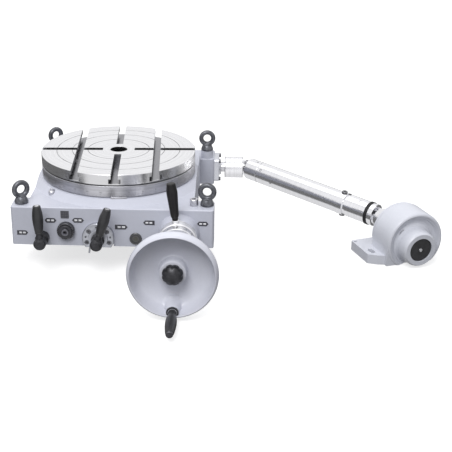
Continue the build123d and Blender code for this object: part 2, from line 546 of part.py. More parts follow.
ctr1, ctr2 = J1, J2
up = Vector(0, 0, 1)
f1 = fork(ctr1, (1, 0, 0), up, 65.1, R_SL)
f1 -= rod(ctr1 - Vector(80, 0, 0), ctr1 - Vector(45.0, 0, 0), 12.0)
f1 -= rod(ctr1 - Vector(80, 0, 0), ctr1 - Vector(63.0, 0, 0), 14.02)
save(one(f1), "coupling_sleeve")


def side(axis, lift):
    """Unit vector square to the axis, nearest to 'lift'."""
    axis, lift = V(axis), V(lift)
    return (lift - axis * lift.dot(axis)).normalized()


bend_n = Vector(1, 0, 0).cross(SHAFT_DIR).normalized()       # square to the bend plane
x_b = SHAFT_DIR.cross(side(SHAFT_DIR, up)).normalized()
f2 = fork(ctr1, SHAFT_DIR * -1, x_b, 53.0, R_SL)
f2 -= rod(ctr1 + SHAFT_DIR * 41.0, ctr1 + SHAFT_DIR * 60.0, 20.0)
for s in (-1, 1):
    f2 += rod(ctr1 + x_b * 10.6 * s, ctr1 + x_b * 21.0 * s, 3.6)
save(one(f2), "shaft_fork")


def cross(centre, pin_dir, node, half):
    ball = Pos(centre.X, centre.Y, centre.Z) * Sphere(8.8)
    save(one(ball + rod(centre - pin_dir * half, centre + pin_dir * half, 3.45)), node)


cross(ctr1, up, "joint_cross_1", 21.0)


def tp(t):
    return J1 + SHAFT_DIR * t


outer = pipe(tp(53.3), tp(324.0), R_SL, 27.05)
outer += pipe(tp(53.3), tp(70.0), 28.0, 19.9)
outer += pipe(tp(41.5), tp(60.0), 19.9, 12.0)
# keyway for the telescoping inner sleeve
kdir = side(SHAFT_DIR, up)
kpl = Plane(origin=tp(190.0), x_dir=x_b, z_dir=SHAFT_DIR)
outer -= kpl * (Pos(0, 28.3, 73) * Box(6.2, 3.4, 158))
outer -= rod(tp(84.0), tp(84.0) - kdir * 9 + Vector(0, -1, 0) * 40, 2.0)
save(one(outer), "outer_tube")
collar = pipe(tp(324.3), tp(347.0), 31.0, 27.08)
for s in (-1, 1):
    collar -= rod(tp(335.5), tp(335.5) + kdir * 45 * s, 5.0)
save(one(collar), "clamp_collar")
cls = []
for s in (-1, 1):
    cls.append(turned([(0, 27.6), (4.95, 27.6), (4.95, 31.0), (8.0, 31.0), (8.0, 34.5), (7.2, 35.5), (3.6, 35.5), (3.6, 32.5), (0, 32.5)], origin=tp(335.5), axis=kdir * s))
save(cls, "clamp_collar_screws")

inner = pipe(tp(190.0), tp(358.0), 27.0, 16.0)
inner += pipe(tp(356.0), tp(SHAFT_LEN - 50.0), 29.8, 16.0)
inner = inner + fork(ctr2, SHAFT_DIR, x_b, 52.0, 29.8, cup=26.5)
inner += kpl * (Pos(0, 27.25, 20) * Box(6.0, 4.4, 30))
save(one(inner), "inner_sleeve")
save(pipe(tp(SHAFT_LEN - 34.5), tp(SHAFT_LEN - 26.0), 31.5, 29.84), "rubber_ring")
cross(ctr2, x_b, "joint_cross_2", 21.0)

# ================================================================= feed gearbox
GE = Vector(cos(radians(BOX_TURN)), sin(radians(BOX_TURN)), 0)      # to the right along its front
GD = Vector(-sin(radians(BOX_TURN)), cos(radians(BOX_TURN)), 0)     # towards its back
GA = Vector(696.6, -163.2, -72.0)


def g(u, dd, h):
    return GA + GE * u + GD * dd + Vector(0, 0, h)


BU, BH = 78.0, 50.0                    # bore axis
# input axis passes through the second joint centre
rel = J2 - GA
IU, ID, IH = rel.dot(GE), rel.dot(GD), rel.Z
GR_B, GR_I = 36, 24
CD = sqrt((BU - IU) ** 2 + (BH - IH) ** 2)
GM = 2 * CD / (GR_B + GR_I)


def gturn(points, u, h, d0=0.0):
    """Turned about an axis through (u, h), distances measured towards the back."""
    return turned(points, origin=g(u, d0, h), axis=GD)


def gblock(u0, u1, d0, d1, h0, h1):
    pl = Plane(origin=GA, x_dir=GE, z_dir=(0, 0, 1))
    return pl * block(u0, u1, d0, d1, h0, h1)


def grod(u, h, d0, d1, r):
    return rod(g(u, d0, h), g(u, d1, h), r)


CU, CH, CR = 81.0, 57.0, 79.0
FILL_U, FILL_H = 104.0, 92.0
drum = gturn([(0, 4), (67, 4), (70, 1.0), (73, 0), (76, 1.5), (78.2, 5), (CR, 10), (CR, 80), (77, 86), (70, 90), (0, 90)], CU, CH)
foot_poly = [(3, 4), (60, 3), (128, 7), (144, 13), (155, 26), (159.5, 38), (159.5, 86), (155, 90), (8, 90), (3, 85)]
pedestal = prism(foot_poly, Plane(origin=GA, x_dir=GE, z_dir=(0, 0, 1)), CH)
house = drum + pedestal
house = house - (gturn([(0, -5), (68, -5), (67, 2.0), (62, 8), (55, 11), (0, 11)], CU, CH))
house += gturn([(0, 20), (60, 20), (57, 11), (51, 7), (48, 0), (46, -24), (44.5, -30), (42, -33.5), (0, -33.5)], BU, BH)
house -= gblock(-60, 220, -60, 200, -60, 0)
foot = prism([(-35, 37), (-14, 21.5), (8, 12), (60, 12), (60, 131), (-35, 131)], Plane(origin=GA, x_dir=GE, z_dir=(0, 0, 1)), 25)
foot = fillet(foot.edges().filter_by(Axis.Z), 4)
house = (house - gblock(-60, 220, 86, 120, -5, 200)) + foot
# bolt slot and dowel hole in the foot
house -= gblock(-23, -9, 46, 58, -5, 40) + rod(g(-16, 46, -5), g(-16, 46, 40), 7) + rod(g(-16, 58, -5), g(-16, 58, 40), 7)
house -= rod(g(-27, 120, -5), g(-27, 120, 40), 4)
# gear chamber open to the back, bearing bores and the front bore
house -= grod(BU, BH, 18, 90, 45)
house -= grod(IU, IH, 18, 90, 32)
house -= grod(BU, BH, -24, 30, 23.2)
house -= grod(BU, BH, -40, -24, 31.3)
house -= grod(IU, IH, 8, 30, 15.6)
house -= grod(FILL_U, FILL_H, 60, 90, 7.5)
COV_A = (20, 70, 110, 190, 335)
COV_R = 70
for a in COV_A:
    a = radians(a)
    house -= grod(CU + COV_R * cos(a), CH + COV_R * sin(a), 70, 90, 2.55)
save(one(house), "gearbox_housing")

gcov = grod(CU, CH, 86, 92, 76.5) & gblock(-60, 220, 60, 120, 1.0, 200)
gcov -= gblock(-60, 60.5, 60, 140, -5, 25.3)
gcov += grod(IU, IH, 86, 103, 30) + grod(BU, BH, 86, 96, 34)
gcov -= gblock(-60, 60.5, 60, 140, -5, 25.3)
gcov -= grod(IU, IH, 80, 110, 15.6) + grod(BU, BH, 80, 110, 23.2) + grod(FILL_U, FILL_H, 80, 110, 6)
gcs = []
for a in COV_A:
    a = radians(a)
    u, h = CU + COV_R * cos(a), CH + COV_R * sin(a)
    if h < 27 and u < 64:
        continue
    gcov -= grod(u, h, 80, 100, 2.8) + grod(u, h, 92, 110, 5.2)
    gcs.append(screw(g(u, 92, h), GD, 2.5, 4.4, 4.0, 14))
save(one(gcov), "gearbox_rear_cover")

# bearings, front pair in the housing and rear pair in the cover
save([grod(BU, BH, 0, 16, 23.1) - grod(BU, BH, -5, 30, 18 + RUN),
      grod(IU, IH, 9, 17.8, 15.5) - grod(IU, IH, 0, 30, 12 + RUN),
      grod(BU, BH, 86, 96, 23.1) - grod(BU, BH, 80, 110, 18 + RUN),
      grod(IU, IH, 88, 102, 15.5) - grod(IU, IH, 80, 110, 12 + RUN)], "gearbox_bearings")


def ggear(teeth, mod, u, h, d0, d1, bore, phase):
    pts = gear_points(teeth, mod, backlash=0.45, phase=phase, add=0.85, ded=1.15)
    f = make_face(Polyline(*[(x, y, 0) for x, y in pts], close=True))
    pl = Plane(origin=g(u, d1, h), x_dir=GE, z_dir=GD * -1)
    return one(pl * extrude(f, d1 - d0) - grod(u, h, d0 - 5, d1 + 5, bore))


# line of centres, measured in the plane seen from the front
ang = atan2(IH - BH, IU - BU)
save(ggear(GR_B, GM, BU, BH, 40, 60, 18.04, ang), "drive_gear")
save(ggear(GR_I, GM, IU, IH, 40, 60, 12.04, ang + pi + pi / GR_I), "pinion_gear")
sleeve = gturn([(10.0, -16), (18, -16), (18, 16.5), (20.5, 16.5), (20.5, 39.9), (18, 39.9), (18, 100), (10.0, 100)], BU, BH)
save(one(sleeve), "drive_sleeve")
cap = gturn([(0, -30.5), (29, -30.5), (31.2, -29), (31.2, -24.05), (0, -24.05)], BU, BH)
cap -= grod(BU, BH, -40, -20, 3.05)
save(cap, "bore_cap")
gcs.append(grod(BU, BH, -32.0, -24.3, 3.0) + gturn([(0, -33), (4.2, -33), (5.0, -32), (5.0, -30.52), (0, -30.52)], BU, BH))
save(gcs, "gearbox_screws")
save(turned([(0, -14), (5.95, -14), (5.95, 0), (8.5, 0), (8.5, 3.5), (7, 5), (0, 5)], origin=g(FILL_U, 92.02, FILL_H), axis=GD), "filler_plug")

# input hub: fork on the gearbox side of the second joint
hub_ax = GD * -1
x_h = hub_ax.cross(side(hub_ax, up)).normalized()
hub_x = side(hub_ax, up)
gf = fork(ctr2, GD, hub_x, ID - 104.0, 28.0, cup=25.5)
gf += grod(IU, IH, 11, 105, 12)
gf += grod(IU, IH, 20, 39.9, 13.4) + grod(IU, IH, 60.1, 85.5, 13.4)
for s in (-1, 1):
    gf += rod(ctr2 + hub_x * 10.6 * s, ctr2 + hub_x * 21.0 * s, 3.6)
save(one(gf), "gearbox_input_shaft")
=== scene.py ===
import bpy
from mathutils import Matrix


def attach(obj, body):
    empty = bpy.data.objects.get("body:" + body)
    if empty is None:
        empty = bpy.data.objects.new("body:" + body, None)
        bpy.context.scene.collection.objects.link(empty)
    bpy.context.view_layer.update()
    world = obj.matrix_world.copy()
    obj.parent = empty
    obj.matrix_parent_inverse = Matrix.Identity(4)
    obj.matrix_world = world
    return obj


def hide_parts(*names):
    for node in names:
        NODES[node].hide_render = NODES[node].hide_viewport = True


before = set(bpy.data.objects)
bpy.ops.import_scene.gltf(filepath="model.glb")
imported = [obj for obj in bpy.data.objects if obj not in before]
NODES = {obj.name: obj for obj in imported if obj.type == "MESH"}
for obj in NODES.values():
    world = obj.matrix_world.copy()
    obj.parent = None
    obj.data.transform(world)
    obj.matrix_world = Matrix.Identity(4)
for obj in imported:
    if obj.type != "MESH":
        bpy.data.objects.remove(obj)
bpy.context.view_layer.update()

import math
from math import sin, cos, pi, radians, sqrt, atan2

import bmesh
import bpy
from mathutils import Matrix, Vector
from mathutils.bvhtree import BVHTree

scene = bpy.context.scene
MM = 0.001

# ------------------------------------------------------------------ camera
cam_data = bpy.data.cameras.new("camera")
cam = bpy.data.objects.new("camera", cam_data)
scene.collection.objects.link(cam)
yaw, pitch, roll = radians(-0.52), radians(22.92), radians(1.02)
fwd = Vector((sin(yaw) * cos(pitch), cos(yaw) * cos(pitch), -sin(pitch)))
right = Vector((cos(yaw), -sin(yaw), 0))
upv = right.cross(fwd)
r2 = right * cos(roll) + upv * sin(roll)
u2 = upv * cos(roll) - right * sin(roll)
cam.matrix_world = Matrix(((r2.x, u2.x, -fwd.x, 0.3069), (r2.y, u2.y, -fwd.y, -2.5305), (r2.z, u2.z, -fwd.z, 1.0334), (0, 0, 0, 1)))
cam_data.sensor_width = 36
cam_data.lens = 81.18
cam_data.clip_end = 60
scene.camera = cam

# ------------------------------------------------------------------ shader helpers


class Mat:
    """A small builder for node materials in object coordinates."""

    def __init__(self, name):
        self.m = bpy.data.materials.new(name)
        self.m.use_nodes = True
        self.nt = self.m.node_tree
        self.nt.nodes.clear()
        self.out = self.n("ShaderNodeOutputMaterial")
        self.p = self.n("ShaderNodeBsdfPrincipled")
        self.nt.links.new(self.p.outputs[0], self.out.inputs[0])
        self.co = self.n("ShaderNodeTexCoord").outputs["Object"]

    def n(self, kind, **props):
        node = self.nt.nodes.new(kind)
        for k, v in props.items():
            setattr(node, k, v)
        return node

    def link(self, a, b):
        self.nt.links.new(a, b)

    def put(self, node, name, value):
        s = node.inputs[name]
        if hasattr(value, "links") or isinstance(value, bpy.types.NodeSocket):
            self.link(value, s)
        else:
            s.default_value = value

    def noise(self, scale, detail=4, rough=0.55, co=None, distortion=0.0):
        t = self.n("ShaderNodeTexNoise")
        self.link(co if co is not None else self.co, t.inputs["Vector"])
        t.inputs["Scale"].default_value = scale
        t.inputs["Detail"].default_value = detail
        t.inputs["Roughness"].default_value = rough
        t.inputs["Distortion"].default_value = distortion
        return t.outputs[0]

    def voronoi(self, scale, co=None, feature="F1"):
        t = self.n("ShaderNodeTexVoronoi", feature=feature)
        self.link(co if co is not None else self.co, t.inputs["Vector"])
        t.inputs["Scale"].default_value = scale
        return t.outputs[0]

    def scaled(self, xyz, rot=(0, 0, 0)):
        m = self.n("ShaderNodeMapping")
        self.link(self.co, m.inputs["Vector"])
        m.inputs["Scale"].default_value = xyz
        m.inputs["Rotation"].default_value = rot
        return m.outputs[0]

    def ramp(self, fac, *stops, interp="LINEAR"):
        r = self.n("ShaderNodeValToRGB")
        r.color_ramp.interpolation = interp
        e = r.color_ramp.elements
        while len(e) < len(stops):
            e.new(0.5)
        for el, (pos, col) in zip(e, stops):
            el.position = pos
            if isinstance(col, (int, float)):
                col = (col, col, col)
            el.color = (*col, 1)
        self.link(fac, r.inputs[0])
        return r.outputs[0]

    def mix(self, fac, a, b, blend="MIX"):
        m = self.n("ShaderNodeMix", data_type="RGBA", blend_type=blend)
        for sock, v in ((m.inputs[0], fac), (m.inputs[6], a), (m.inputs[7], b)):
            if isinstance(v, bpy.types.NodeSocket):
                self.link(v, sock)
            elif isinstance(v, (int, float)) and sock is not m.inputs[0]:
                sock.default_value = (v, v, v, 1)
            elif isinstance(v, tuple):
                sock.default_value = (*v, 1)
            else:
                sock.default_value = v
        return m.outputs[2]

    def math(self, op, a, b=0.0, c=None, clamp=False):
        m = self.n("ShaderNodeMath", operation=op, use_clamp=clamp)
        for i, v in enumerate((a, b) if c is None else (a, b, c)):
            if isinstance(v, bpy.types.NodeSocket):
                self.link(v, m.inputs[i])
            else:
                m.inputs[i].default_value = v
        return m.outputs[0]

    def bump(self, height, strength, dist, normal=None):
        b = self.n("ShaderNodeBump")
        b.inputs["Strength"].default_value = strength
        b.inputs["Distance"].default_value = dist
        self.link(height, b.inputs["Height"])
        if normal is not None:
            self.link(normal, b.inputs["Normal"])
        return b.outputs[0]

    def radius(self, origin, axis):
        """Distance from an axis through origin, and distance along it."""
        sub = self.n("ShaderNodeVectorMath", operation="SUBTRACT")
        self.link(self.co, sub.inputs[0])
        sub.inputs[1].default_value = origin
        dot = self.n("ShaderNodeVectorMath", operation="DOT_PRODUCT")
        self.link(sub.outputs[0], dot.inputs[0])
        dot.inputs[1].default_value = axis
        ln = self.n("ShaderNodeVectorMath", operation="LENGTH")
        self.link(sub.outputs[0], ln.inputs[0])
        l2 = self.math("MULTIPLY", ln.outputs["Value"], ln.outputs["Value"])
        d2 = self.math("MULTIPLY", dot.outputs["Value"], dot.outputs["Value"])
        return self.math("SQRT", self.math("SUBTRACT", l2, d2, clamp=False)), dot.outputs["Value"]

    def line(self, value, scale, detail=3, seed=0.0):
        """Noise that changes only with one value, for turned marks."""
        t = self.n("ShaderNodeTexNoise", noise_dimensions="1D")
        self.link(self.math("ADD", value, seed), t.inputs["W"])
        t.inputs["Scale"].default_value = scale
        t.inputs["Detail"].default_value = detail
        return t.outputs[0]

    def edges(self, radius=0.0016, lo=0.012, hi=0.11):
        """1 near the edges of the piece, 0 on its flat and round faces."""
        b = self.n("ShaderNodeBevel", samples=4)
        b.inputs["Radius"].default_value = radius
        g = self.n("ShaderNodeNewGeometry")
        d = self.n("ShaderNodeVectorMath", operation="DOT_PRODUCT")
        self.link(b.outputs[0], d.inputs[0])
        self.link(g.outputs["Normal"], d.inputs[1])
        return self.ramp(self.math("SUBTRACT", 1.0, d.outputs["Value"]), (lo, 0.0), (hi, 1.0))


def enamel(name, base, dark, rough=0.36, grain=1.0, wear=0.35):
    """Machine enamel sprayed over filled cast iron: slight mottling, orange peel, rubbed edges."""
    m = Mat(name)
    big = m.noise(9, 3)
    fine = m.noise(180, 5, 0.6)
    col = m.mix(m.ramp(big, (0.32, 0.0), (0.72, 1.0)), dark, base)
    col = m.mix(m.ramp(fine, (0.38, 0.0), (0.66, 0.16)), col, tuple(min(1, c * 1.12) for c in base))
    specks = m.ramp(m.voronoi(420), (0.0, 0.35), (0.10, 0.0))
    col = m.mix(specks, col, tuple(c * 0.72 for c in base))
    edge = m.edges()
    breakup = m.ramp(m.noise(140, 4, 0.7), (0.50, 0.0), (0.66, 1.0))
    worn = m.math("MULTIPLY", m.math("MULTIPLY", edge, breakup), wear)
    col = m.mix(worn, col, (0.42, 0.42, 0.44))
    m.put(m.p, "Base Color", col)
    m.put(m.p, "Roughness", m.ramp(m.noise(60, 4), (0.3, rough - 0.05), (0.7, rough + 0.08)))
    peel = m.noise(520, 3, 0.5)
    cast = m.noise(60, 4, 0.6)
    h = m.math("ADD", m.math("MULTIPLY", peel, 0.35 * grain), m.math("MULTIPLY", cast, 1.0 * grain))
    m.put(m.p, "Normal", m.bump(h, 0.22, 0.0012))
    m.p.inputs["Coat Weight"].default_value = 0.12
    m.p.inputs["Coat Roughness"].default_value = 0.25
    return m.m


def turned_steel(name, base, origin, axis, rough=0.24, marks=2600.0, metal=1.0, strength=0.35, tone=0.16, aniso=0.0, aniso_axis="Z", circles=(), rim_painted_shade=0.0):
    """Steel turned or ground round an axis: fine rings of tool marks, faint stains; for the table also painted shade in
    the slots and on the outside of the rim.
    """
    m = Mat(name)
    r, h = m.radius(origin, axis)
    along = m.math("ADD", r, m.math("MULTIPLY", h, 1.0))
    fine = m.line(along, marks, 2)
    wide = m.line(along, marks * 0.06, 3, 3.1)
    stain = m.noise(26, 5, 0.62)
    light = tuple(min(1.0, c * (1 + tone * 0.5)) for c in base)
    darkc = tuple(c * (1 - tone) for c in base)
    col = m.mix(m.ramp(wide, (0.35, 0.0), (0.65, 1.0)), darkc, light)
    col = m.mix(m.ramp(stain, (0.42, 0.0), (0.75, 0.35)), col, tuple(c * (1 - tone * 0.8) for c in base))
    if circles:
        # ink rubbed into the engraved centring circles of the working face
        top = m.ramp(m.math("MULTIPLY", h, 5.0), (0.8745, 0.0), (0.8765, 1.0))
        broken = m.ramp(m.noise(34, 3, 0.6), (0.36, 0.35), (0.6, 1.0))
        for rad in circles:
            off = m.math("ABSOLUTE", m.math("SUBTRACT", r, rad))
            near = m.ramp(m.math("MULTIPLY", off, 500.0), (0.33, 1.0), (0.55, 0.0))
            f = m.math("MULTIPLY", m.math("MULTIPLY", near, top), broken)
            col = m.mix(f, col, (0.07, 0.07, 0.08))
        # painted shade: the slots are coloured darker below the ground face, where they lie in shadow
        slot_painted_shade = m.math("MULTIPLY", m.ramp(m.math("MULTIPLY", h, 5.0), (0.862, 1.0), (0.874, 0.0)), m.ramp(m.math("MULTIPLY", r, 5.0), (0.986, 1.0), (0.992, 0.0)))
        col = m.mix(slot_painted_shade, col, (0.26, 0.26, 0.275))
    if rim_painted_shade:
        # painted shade: the outside of the rim is coloured darker than the working face, for the darker reflections it
        # shows
        out = m.ramp(m.math("MULTIPLY", r, 5.0), (0.990, 0.0), (0.998, 1.0))
        low = m.ramp(m.math("MULTIPLY", h, 5.0), (0.868, 1.0), (0.874, 0.0))
        col = m.mix(m.math("MULTIPLY", out, low), col, tuple(c * rim_painted_shade for c in base))
    m.put(m.p, "Base Color", col)
    m.p.inputs["Metallic"].default_value = metal
    rr = m.mix(m.ramp(fine, (0.3, 0.0), (0.7, 1.0)), rough - 0.05, rough + 0.07)
    m.put(m.p, "Roughness", m.mix(m.ramp(stain, (0.5, 0.0), (0.8, 0.5)), rr, rough + 0.12))
    m.put(m.p, "Normal", m.bump(fine, strength, 0.00012))
    if aniso:
        m.p.inputs["Anisotropic"].default_value = aniso
        t = m.n("ShaderNodeTangent", direction_type="RADIAL", axis=aniso_axis)
        m.link(t.outputs[0], m.p.inputs["Tangent"])
    return m.m


def black_steel(name, base=(0.030, 0.030, 0.034), rough=0.38, wear=0.45, worn_col=(0.34, 0.34, 0.36), metal=0.55):
    """Blackened or painted forged steel with rubbed edges."""
    m = Mat(name)
    mott = m.noise(70, 5, 0.65)
    col = m.mix(m.ramp(mott, (0.35, 0.0), (0.7, 1.0)), tuple(c * 0.7 for c in base), tuple(c * 1.7 for c in base))
    edge = m.edges(0.0009)
    br = m.ramp(m.noise(260, 4, 0.7), (0.42, 0.0), (0.62, 1.0))
    worn = m.math("MULTIPLY", m.math("MULTIPLY", edge, br), wear)
    col = m.mix(worn, col, worn_col)
    m.put(m.p, "Base Color", col)
    m.p.inputs["Metallic"].default_value = metal
    m.put(m.p, "Roughness", m.ramp(m.noise(120, 4), (0.3, rough - 0.08), (0.7, rough + 0.12)))
    m.put(m.p, "Normal", m.bump(m.noise(340, 4, 0.6), 0.25, 0.0006))
    return m.m


def plastic(name, base=(0.022, 0.021, 0.022), rough=0.26, spec=0.4, coat=0.0):
    """Moulded thermoset plastic: gloss with fine scuffs."""
    m = Mat(name)
    mott = m.noise(45, 3)
    col = m.mix(m.ramp(mott, (0.3, 0.0), (0.7, 1.0)), tuple(c * 0.8 for c in base), tuple(c * 1.5 for c in base))
    scr = m.noise(900, 3, 0.6, co=m.scaled((1.0, 1.0, 0.08)))
    m.put(m.p, "Base Color", m.mix(m.ramp(scr, (0.60, 0.0), (0.75, 0.20)), col, tuple(c * 2.4 for c in base)))
    m.p.inputs["Specular IOR Level"].default_value = spec
    m.put(m.p, "Roughness", m.ramp(scr, (0.35, rough), (0.75, rough + 0.16)))
    m.put(m.p, "Normal", m.bump(m.noise(420, 2), 0.12, 0.0003))
    m.p.inputs["Coat Weight"].default_value = coat
    m.p.inputs["Coat Roughness"].default_value = 0.12
    return m.m


def ink(name, base, rough=0.5):
    """Paint rubbed into an engraving or printed on a plate."""
    m = Mat(name)
    f = m.noise(800, 4, 0.7)
    m.put(m.p, "Base Color", m.mix(m.ramp(f, (0.4, 0.0), (0.7, 1.0)), base, tuple(min(1, c * 1.6 + 0.01) for c in base)))
    m.put(m.p, "Roughness", m.ramp(f, (0.3, rough - 0.1), (0.7, rough + 0.1)))
    m.put(m.p, "Normal", m.bump(f, 0.1, 0.0002))
    return m.m


SD = Vector((0.7823, -0.6190, -0.0699)).normalized()
J1 = Vector((339.5, 264.0, 38.0)) * MM
J2 = J1 + SD * 0.452
T = radians(21.4)
GE = Vector((cos(T), sin(T), 0))
GD = Vector((-sin(T), cos(T), 0))
GA = Vector((696.6, -163.2, -72.0)) * MM
WA = Vector((0.170, 0, 0.038))          # worm axis point
YN = Vector((0, -1, 0))


def g(u, d, h):
    return GA + GE * (u * MM) + GD * (d * MM) + Vector((0, 0, h * MM))


M = {}
M["enamel"] = enamel("enamel_base", (0.525, 0.54, 0.615), (0.49, 0.505, 0.58))
M["enamel_box"] = enamel("enamel_gearbox", (0.61, 0.625, 0.685), (0.57, 0.585, 0.645))
M["enamel_wheel"] = enamel("enamel_wheel", (0.60, 0.61, 0.675), (0.56, 0.572, 0.64), rough=0.34, grain=0.5, wear=0.2)
M["table"] = turned_steel("table_steel", (0.80, 0.80, 0.81), (0, 0, 0), (0, 0, 1), rough=0.24, marks=2400, strength=0.10, tone=0.05, circles=(0.080, 0.120, 0.160), rim_painted_shade=0.80)
M["ring"] = turned_steel("ring_steel", (0.50, 0.50, 0.53), (0, 0, 0), (0, 0, 1), rough=0.30, marks=3400, strength=0.2, tone=0.10)
M["dial"] = turned_steel("dial_chrome", (0.80, 0.80, 0.82), tuple(WA), (0, -1, 0), rough=0.26, marks=3000, strength=0.12, tone=0.06)
M["clutch"] = turned_steel("clutch_steel", (0.84, 0.84, 0.86), tuple(WA), (0, -1, 0), rough=0.42, marks=2600, strength=0.12, tone=0.06)
M["sleeve1"] = turned_steel("coupling_steel", (0.82, 0.82, 0.84), tuple(J1), (1, 0, 0), rough=0.22, marks=2200, strength=0.06, tone=0.05)
M["tube"] = turned_steel("tube_steel", (0.83, 0.83, 0.85), tuple(J1), tuple(SD), rough=0.17, marks=1800, strength=0.05, tone=0.04)
M["inner"] = turned_steel("inner_tube_steel", (0.85, 0.85, 0.87), tuple(J2), tuple(SD), rough=0.14, marks=2600, strength=0.04, tone=0.04)
M["shaft_y"] = turned_steel("worm_steel", (0.62, 0.62, 0.65), tuple(WA), (0, -1, 0), rough=0.3, marks=2200, strength=0.3)
M["shaft_x"] = turned_steel("input_steel", (0.64, 0.64, 0.67), (0.17, 0.264, 0.038), (1, 0, 0), rough=0.28, marks=2200, strength=0.3)
M["gear_in"] = turned_steel("gearbox_shaft_steel", (0.80, 0.80, 0.82), tuple(J2), tuple(GD), rough=0.2, marks=2200, strength=0.1, tone=0.06)
M["bore_steel"] = turned_steel("drive_sleeve_steel", (0.62, 0.62, 0.65), tuple(g(78, 0, 50)), tuple(GD), rough=0.3, marks=2400, strength=0.3)
M["dark"] = black_steel("dark_steel")
M["cap"] = black_steel("cap_black", base=(0.018, 0.018, 0.020), rough=0.45, wear=0.25, metal=0.2)
M["eye"] = black_steel("eye_bolt_steel", base=(0.105, 0.108, 0.120), rough=0.36, wear=0.5, worn_col=(0.32, 0.32, 0.34), metal=0.75)
M["grip"] = plastic("black_grip", base=(0.012, 0.011, 0.012), rough=0.34, spec=0.25)
M["grip2"] = plastic("grey_black_grip", base=(0.026, 0.026, 0.028), rough=0.30, spec=0.35)
M["rubber"] = plastic("black_rubber", base=(0.013, 0.013, 0.014), rough=0.55, spec=0.3)
M["plate"] = ink("plate_black", (0.028, 0.028, 0.036), 0.38)
M["plate_grey"] = ink("plate_grey", (0.11, 0.11, 0.13), 0.4)
M["plate_light"] = ink("plate_light", (0.70, 0.71, 0.76), 0.42)
M["ink"] = ink("engraving_ink", (0.015, 0.015, 0.018), 0.6)
# worn engraving ink, also used for the dark bands of painted shade at the coupling sleeve's ends
M["ink_soft"] = ink("engraving_ink_and_painted_shade", (0.075, 0.075, 0.082), 0.6)
M["grey_screw"] = black_steel("collar_screw_steel", base=(0.20, 0.20, 0.21), rough=0.36, metal=0.9, worn_col=(0.45, 0.45, 0.47))
M["screw"] = black_steel("screw_steel", base=(0.10, 0.10, 0.11), rough=0.33, metal=0.9, worn_col=(0.45, 0.45, 0.47))
M["bright_screw"] = turned_steel("bright_screw", (0.72, 0.72, 0.74), tuple(g(78, 0, 50)), tuple(GD), rough=0.25, strength=0.15)
M["bronze"] = turned_steel("bronze", (0.52, 0.34, 0.15), (0, 0, 0), (0, 0, 1), rough=0.34, marks=2600)
M["steel"] = turned_steel("machined_steel", (0.58, 0.58, 0.61), (0, 0, 0), (0, 0, 1), rough=0.32, marks=1800, strength=0.2)
M["dial_dark"] = black_steel("selector_black", base=(0.030, 0.030, 0.036), rough=0.34, worn_col=(0.30, 0.30, 0.32), wear=0.35, metal=0.4)
M["flange"] = turned_steel("flange_steel", (0.42, 0.43, 0.47), (-0.028, 0, 0.024), (0, -1, 0), rough=0.36, marks=1600, metal=0.75, strength=0.2)
M["flange2"] = turned_steel("input_flange_steel", (0.62, 0.63, 0.67), (0.17, 0.264, 0.038), (1, 0, 0), rough=0.36, marks=1600, metal=0.8, strength=0.2, tone=0.08)


def glass_eye():
    m = Mat("sight_window")
    r, _ = m.radius((0.064, -0.23, 0.022), (0, -1, 0))
    ring = m.ramp(m.math("MULTIPLY", r, 60.0), (0.0, (0.06, 0.056, 0.042)), (0.38, (0.04, 0.04, 0.035)), (0.42, (0.12, 0.12, 0.125)), (0.50, (0.02, 0.02, 0.023)), (0.9, (0.05, 0.05, 0.056)))
    m.put(m.p, "Base Color", m.mix(m.ramp(m.noise(500, 4), (0.4, 0.0), (0.7, 0.35)), ring, (0.08, 0.075, 0.065)))
    m.put(m.p, "Roughness", m.ramp(m.noise(300, 3), (0.3, 0.22), (0.7, 0.4)))
    m.p.inputs["Coat Weight"].default_value = 0.2
    m.p.inputs["Coat Roughness"].default_value = 0.05
    return m.m


M["sight"] = glass_eye()


def paint(node, mat):
    o = NODES[node]
    o.data.materials.clear()
    o.data.materials.append(mat)


PAINT = {
    "base_casting": "enamel", "rear_cover": "enamel", "input_flange": "flange2", "bottom_cover": "enamel", "feed_flange": "flange",
    "gearbox_housing": "enamel_box", "gearbox_rear_cover": "enamel_box", "handwheel": "enamel_wheel",
    "table_plate": "table", "centre_sleeve": "table", "graduated_ring": "ring", "index_plate": "ring",
    "hand_dial": "dial", "clutch_ring": "clutch", "worm_shaft": "shaft_y", "input_shaft": "shaft_x",
    "coupling_sleeve": "sleeve1", "shaft_fork": "tube", "outer_tube": "tube", "clamp_collar": "tube", "inner_sleeve": "inner",
    "joint_cross_1": "dark", "joint_cross_2": "dark", "gearbox_input_shaft": "gear_in", "rubber_ring": "rubber",
    "clamp_collar_screws": "grey_screw", "eye_bolts": "eye", "clutch_lever": "grip", "clamp_lever_hub": "dark", "clamp_lever_grip": "grip2",
    "feed_lever_hub": "dark", "feed_lever_grip": "grip2", "selector_dial": "dial_dark", "oil_sight": "sight", "oil_filler": "steel",
    "handwheel_nut": "dark", "handwheel_key": "steel", "crank_pin": "dark", "crank_grip": "grip2", "bore_cap": "cap",
    "gearbox_screws": "screw", "gearbox_bearings": "steel", "filler_plug": "steel", "label_plates": "plate", "base_screws": "screw",
    "table_screws": "screw", "table_spindle": "steel", "worm_wheel": "bronze", "thrust_race": "steel", "table_journal_bush": "bronze",
    "brake_pin": "steel", "trip_plunger": "steel", "worm_bearings": "bronze", "input_bush": "bronze", "bevel_gear_worm": "shaft_y",
    "bevel_gear_input": "shaft_x", "pinion_gear": "gear_in", "drive_gear": "bore_steel", "drive_sleeve": "bore_steel",
}
for node in NODES:
    paint(node, M[PAINT[node]])


